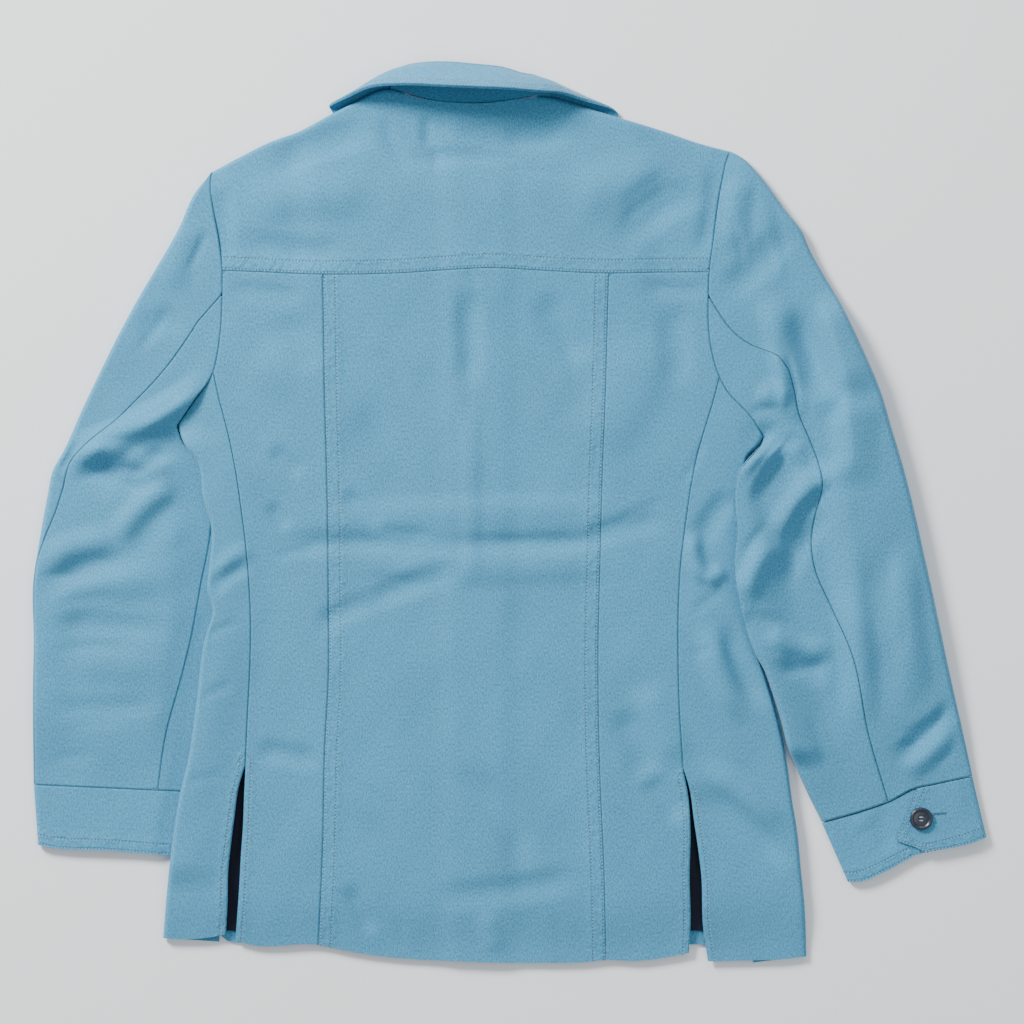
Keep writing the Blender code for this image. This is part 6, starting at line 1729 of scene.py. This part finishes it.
class JACKET_OT_button(bpy.types.Operator):
    """Cuff button with its thread, and the worked buttonhole beside it"""
    bl_idname = "jacket.button"
    bl_label = "Cuff button"

    def execute(self, context):
        settings = context.scene.jacket
        grid = button_grid()
        rows, columns = grid.shape[:2]
        number = np.arange(rows * columns).reshape(rows, columns)
        after = np.roll(number, -1, axis=1)
        quads = np.stack([number[:-1], after[:-1], after[1:], number[1:]], 2).reshape(-1, 4)
        centre = np.array((*BUTTON_CENTRE, 0.0))
        ends = np.stack([centre + (0, 0, grid[0, 0, 2]), centre + (0, 0, grid[-1, 0, 2])])
        low = np.stack([after[0], number[0], np.full(columns, rows * columns)], 1)
        high = np.stack([number[-1], after[-1], np.full(columns, rows * columns + 1)], 1)
        item = small_pieces("cuff_button", [(np.concatenate([grid.reshape(-1, 3), ends]), quads,
                                             np.concatenate([low, high]))])
        finish_piece(item, "button", settings, "cuff_button_right")
        top = BUTTON_BASE + 2.0
        x, y = BUTTON_CENTRE
        bars = np.array([(x, y + s, top) for s in (-1.75, -1.25, 1.25, 1.75)])
        flat = np.tile((1.0, 0.0, 0.0), (4, 1))
        up = np.tile((0.0, 0.0, 1.0), (4, 1))
        shank = lozenges(np.array([(x, y, BUTTON_BASE + 0.4)]), up[:1], flat[:1], 2.0, 2.4, 2.4, 10, 6)
        thread = small_pieces("button_thread", [lozenges(bars, flat, up, 3.9, 0.5, 0.55, 8, 6), shank])
        finish_piece(thread, "button_thread", settings)
        start, end = np.array((373.2, -266.0)), np.array((384.3, -265.2))
        share = np.linspace(0, 1, 26)[:, None]
        line = start + (end - start) * share
        level = 7.75 + ripple(line, 0.3)
        ahead = np.tile(np.append(unit(end - start), 0.0), (26, 1))
        side = np.cross(up[:1], ahead)
        batches = []
        for sign in (-1, 1):
            spots = np.column_stack([line, level]) + side * sign * 0.75
            batches.append(lozenges(spots, side, np.tile(up[0], (26, 1)), 0.7, 0.34, 0.4))
        turn = np.linspace(-np.pi / 2, np.pi / 2, 9)
        out = np.stack([np.cos(turn) * ahead[0, 0], np.sin(turn), 0 * turn], 1)
        tips = np.append(end, level[-1]) + out * 0.8
        batches.append(lozenges(tips, unit(out), np.tile(up[0], (9, 1)), 0.7, 0.34, 0.4))
        hole = small_pieces("buttonhole_thread", batches)
        # Painted shade: the slit is a thin dark lozenge for the shade in the cut; the buttonhole's
        # thread takes the same dark material
        middle = np.array([[*((start + end) / 2), level.mean() + 0.06]])
        slit = small_pieces("buttonhole_slit_shade", [
            lozenges(middle, ahead[:1], up[:1], 11.2, 0.3, 0.3, 8, 8)])
        for item in (hole, slit):
            finish_piece(item, "needle_hole", settings)
        return {"FINISHED"}


class JACKET_OT_studio(bpy.types.Operator):
    """Pale floor, soft lights and the camera straight above"""
    bl_idname = "jacket.studio"
    bl_label = "Studio"

    def execute(self, context):
        scene = context.scene
        size = 30.0
        corners = np.array([(-size, -size, 0), (size, -size, 0), (size, size, 0), (-size, size, 0)])
        floor = new_object("floor", corners / MM - (0, 0, 0.4), [[0, 1, 2, 3]], smooth=False)
        floor.data.materials.append(material("matt_studio_paper", "#f4f5f6", 0.9)[0])
        world = bpy.data.worlds.new("studio_world")
        scene.world = world
        world.use_nodes = True
        background = world.node_tree.nodes["Background"]
        background.inputs["Color"].default_value = linear("#eef2f6")
        background.inputs["Strength"].default_value = 0.56
        lights = (
            # name, place x, y, z, size, power, colour
            ("key", -2.3, 2.2, 1.85, 1.2, 262.0, "#ffffff"),
            ("fill", 1.6, -0.8, 2.6, 2.2, 22.0, "#f4f8ff"),
            ("rim", 0.6, 2.6, 1.6, 1.4, 16.0, "#ffffff"))
        for name, x, y, z, wide, power, colour in lights:
            lamp = bpy.data.lights.new(name, "AREA")
            lamp.shape = "DISK"
            lamp.size = wide
            lamp.energy = power
            lamp.color = linear(colour)[:3]
            item = bpy.data.objects.new(name, lamp)
            scene.collection.objects.link(item)
            place = np.array((x, y, z))
            ahead = unit(-place)
            side = unit(np.cross(ahead, (0.0, 0.0, 1.0)))
            turned = np.column_stack([side, np.cross(side, ahead), -ahead, place])
            item.matrix_world = Matrix([*turned.tolist(), (0, 0, 0, 1)])
        camera = bpy.data.cameras.new("camera")
        camera.lens = scene.jacket.camera_lens
        camera.clip_end = 60.0
        view = bpy.data.objects.new("camera", camera)
        scene.collection.objects.link(view)
        # 0.882 mm of the jacket's plane falls on each of the picture's 1024 columns
        wide = 1024 * 0.882 * MM
        view.location = (0.0022, 0.00044, 0.005 + wide * camera.lens / camera.sensor_width)
        scene.camera = view
        return {"FINISHED"}


class JACKET_PT_panel(bpy.types.Panel):
    """Lists the jacket's pieces and its settings"""
    bl_idname = "JACKET_PT_panel"
    bl_label = "Jacket"
    bl_space_type = "VIEW_3D"
    bl_region_type = "UI"
    bl_category = "Jacket"

    def draw(self, context):
        for kind in OPERATORS:
            self.layout.operator(kind.bl_idname)
        for name in JacketSettings.__annotations__:
            self.layout.prop(context.scene.jacket, name)


OPERATORS = (JACKET_OT_yoke, JACKET_OT_back, JACKET_OT_sides, JACKET_OT_fronts, JACKET_OT_sleeves,
             JACKET_OT_cuffs, JACKET_OT_collar, JACKET_OT_linings, JACKET_OT_topstitching,
             JACKET_OT_button, JACKET_OT_studio)


def register():
    """Register the settings, the operators and the panel."""
    for kind in (JacketSettings, *OPERATORS, JACKET_PT_panel):
        bpy.utils.register_class(kind)
    bpy.types.Scene.jacket = bpy.props.PointerProperty(type=JacketSettings)


def unregister():
    """Take them away again."""
    del bpy.types.Scene.jacket
    for kind in (JACKET_PT_panel, *OPERATORS[::-1], JacketSettings):
        bpy.utils.unregister_class(kind)


def main():
    """Build every piece in order."""
    register()
    for kind in (JACKET_OT_studio, *OPERATORS[:-1]):
        group, name = kind.bl_idname.split(".")
        getattr(getattr(bpy.ops, group), name)()


if __name__ == "__main__":
    main()
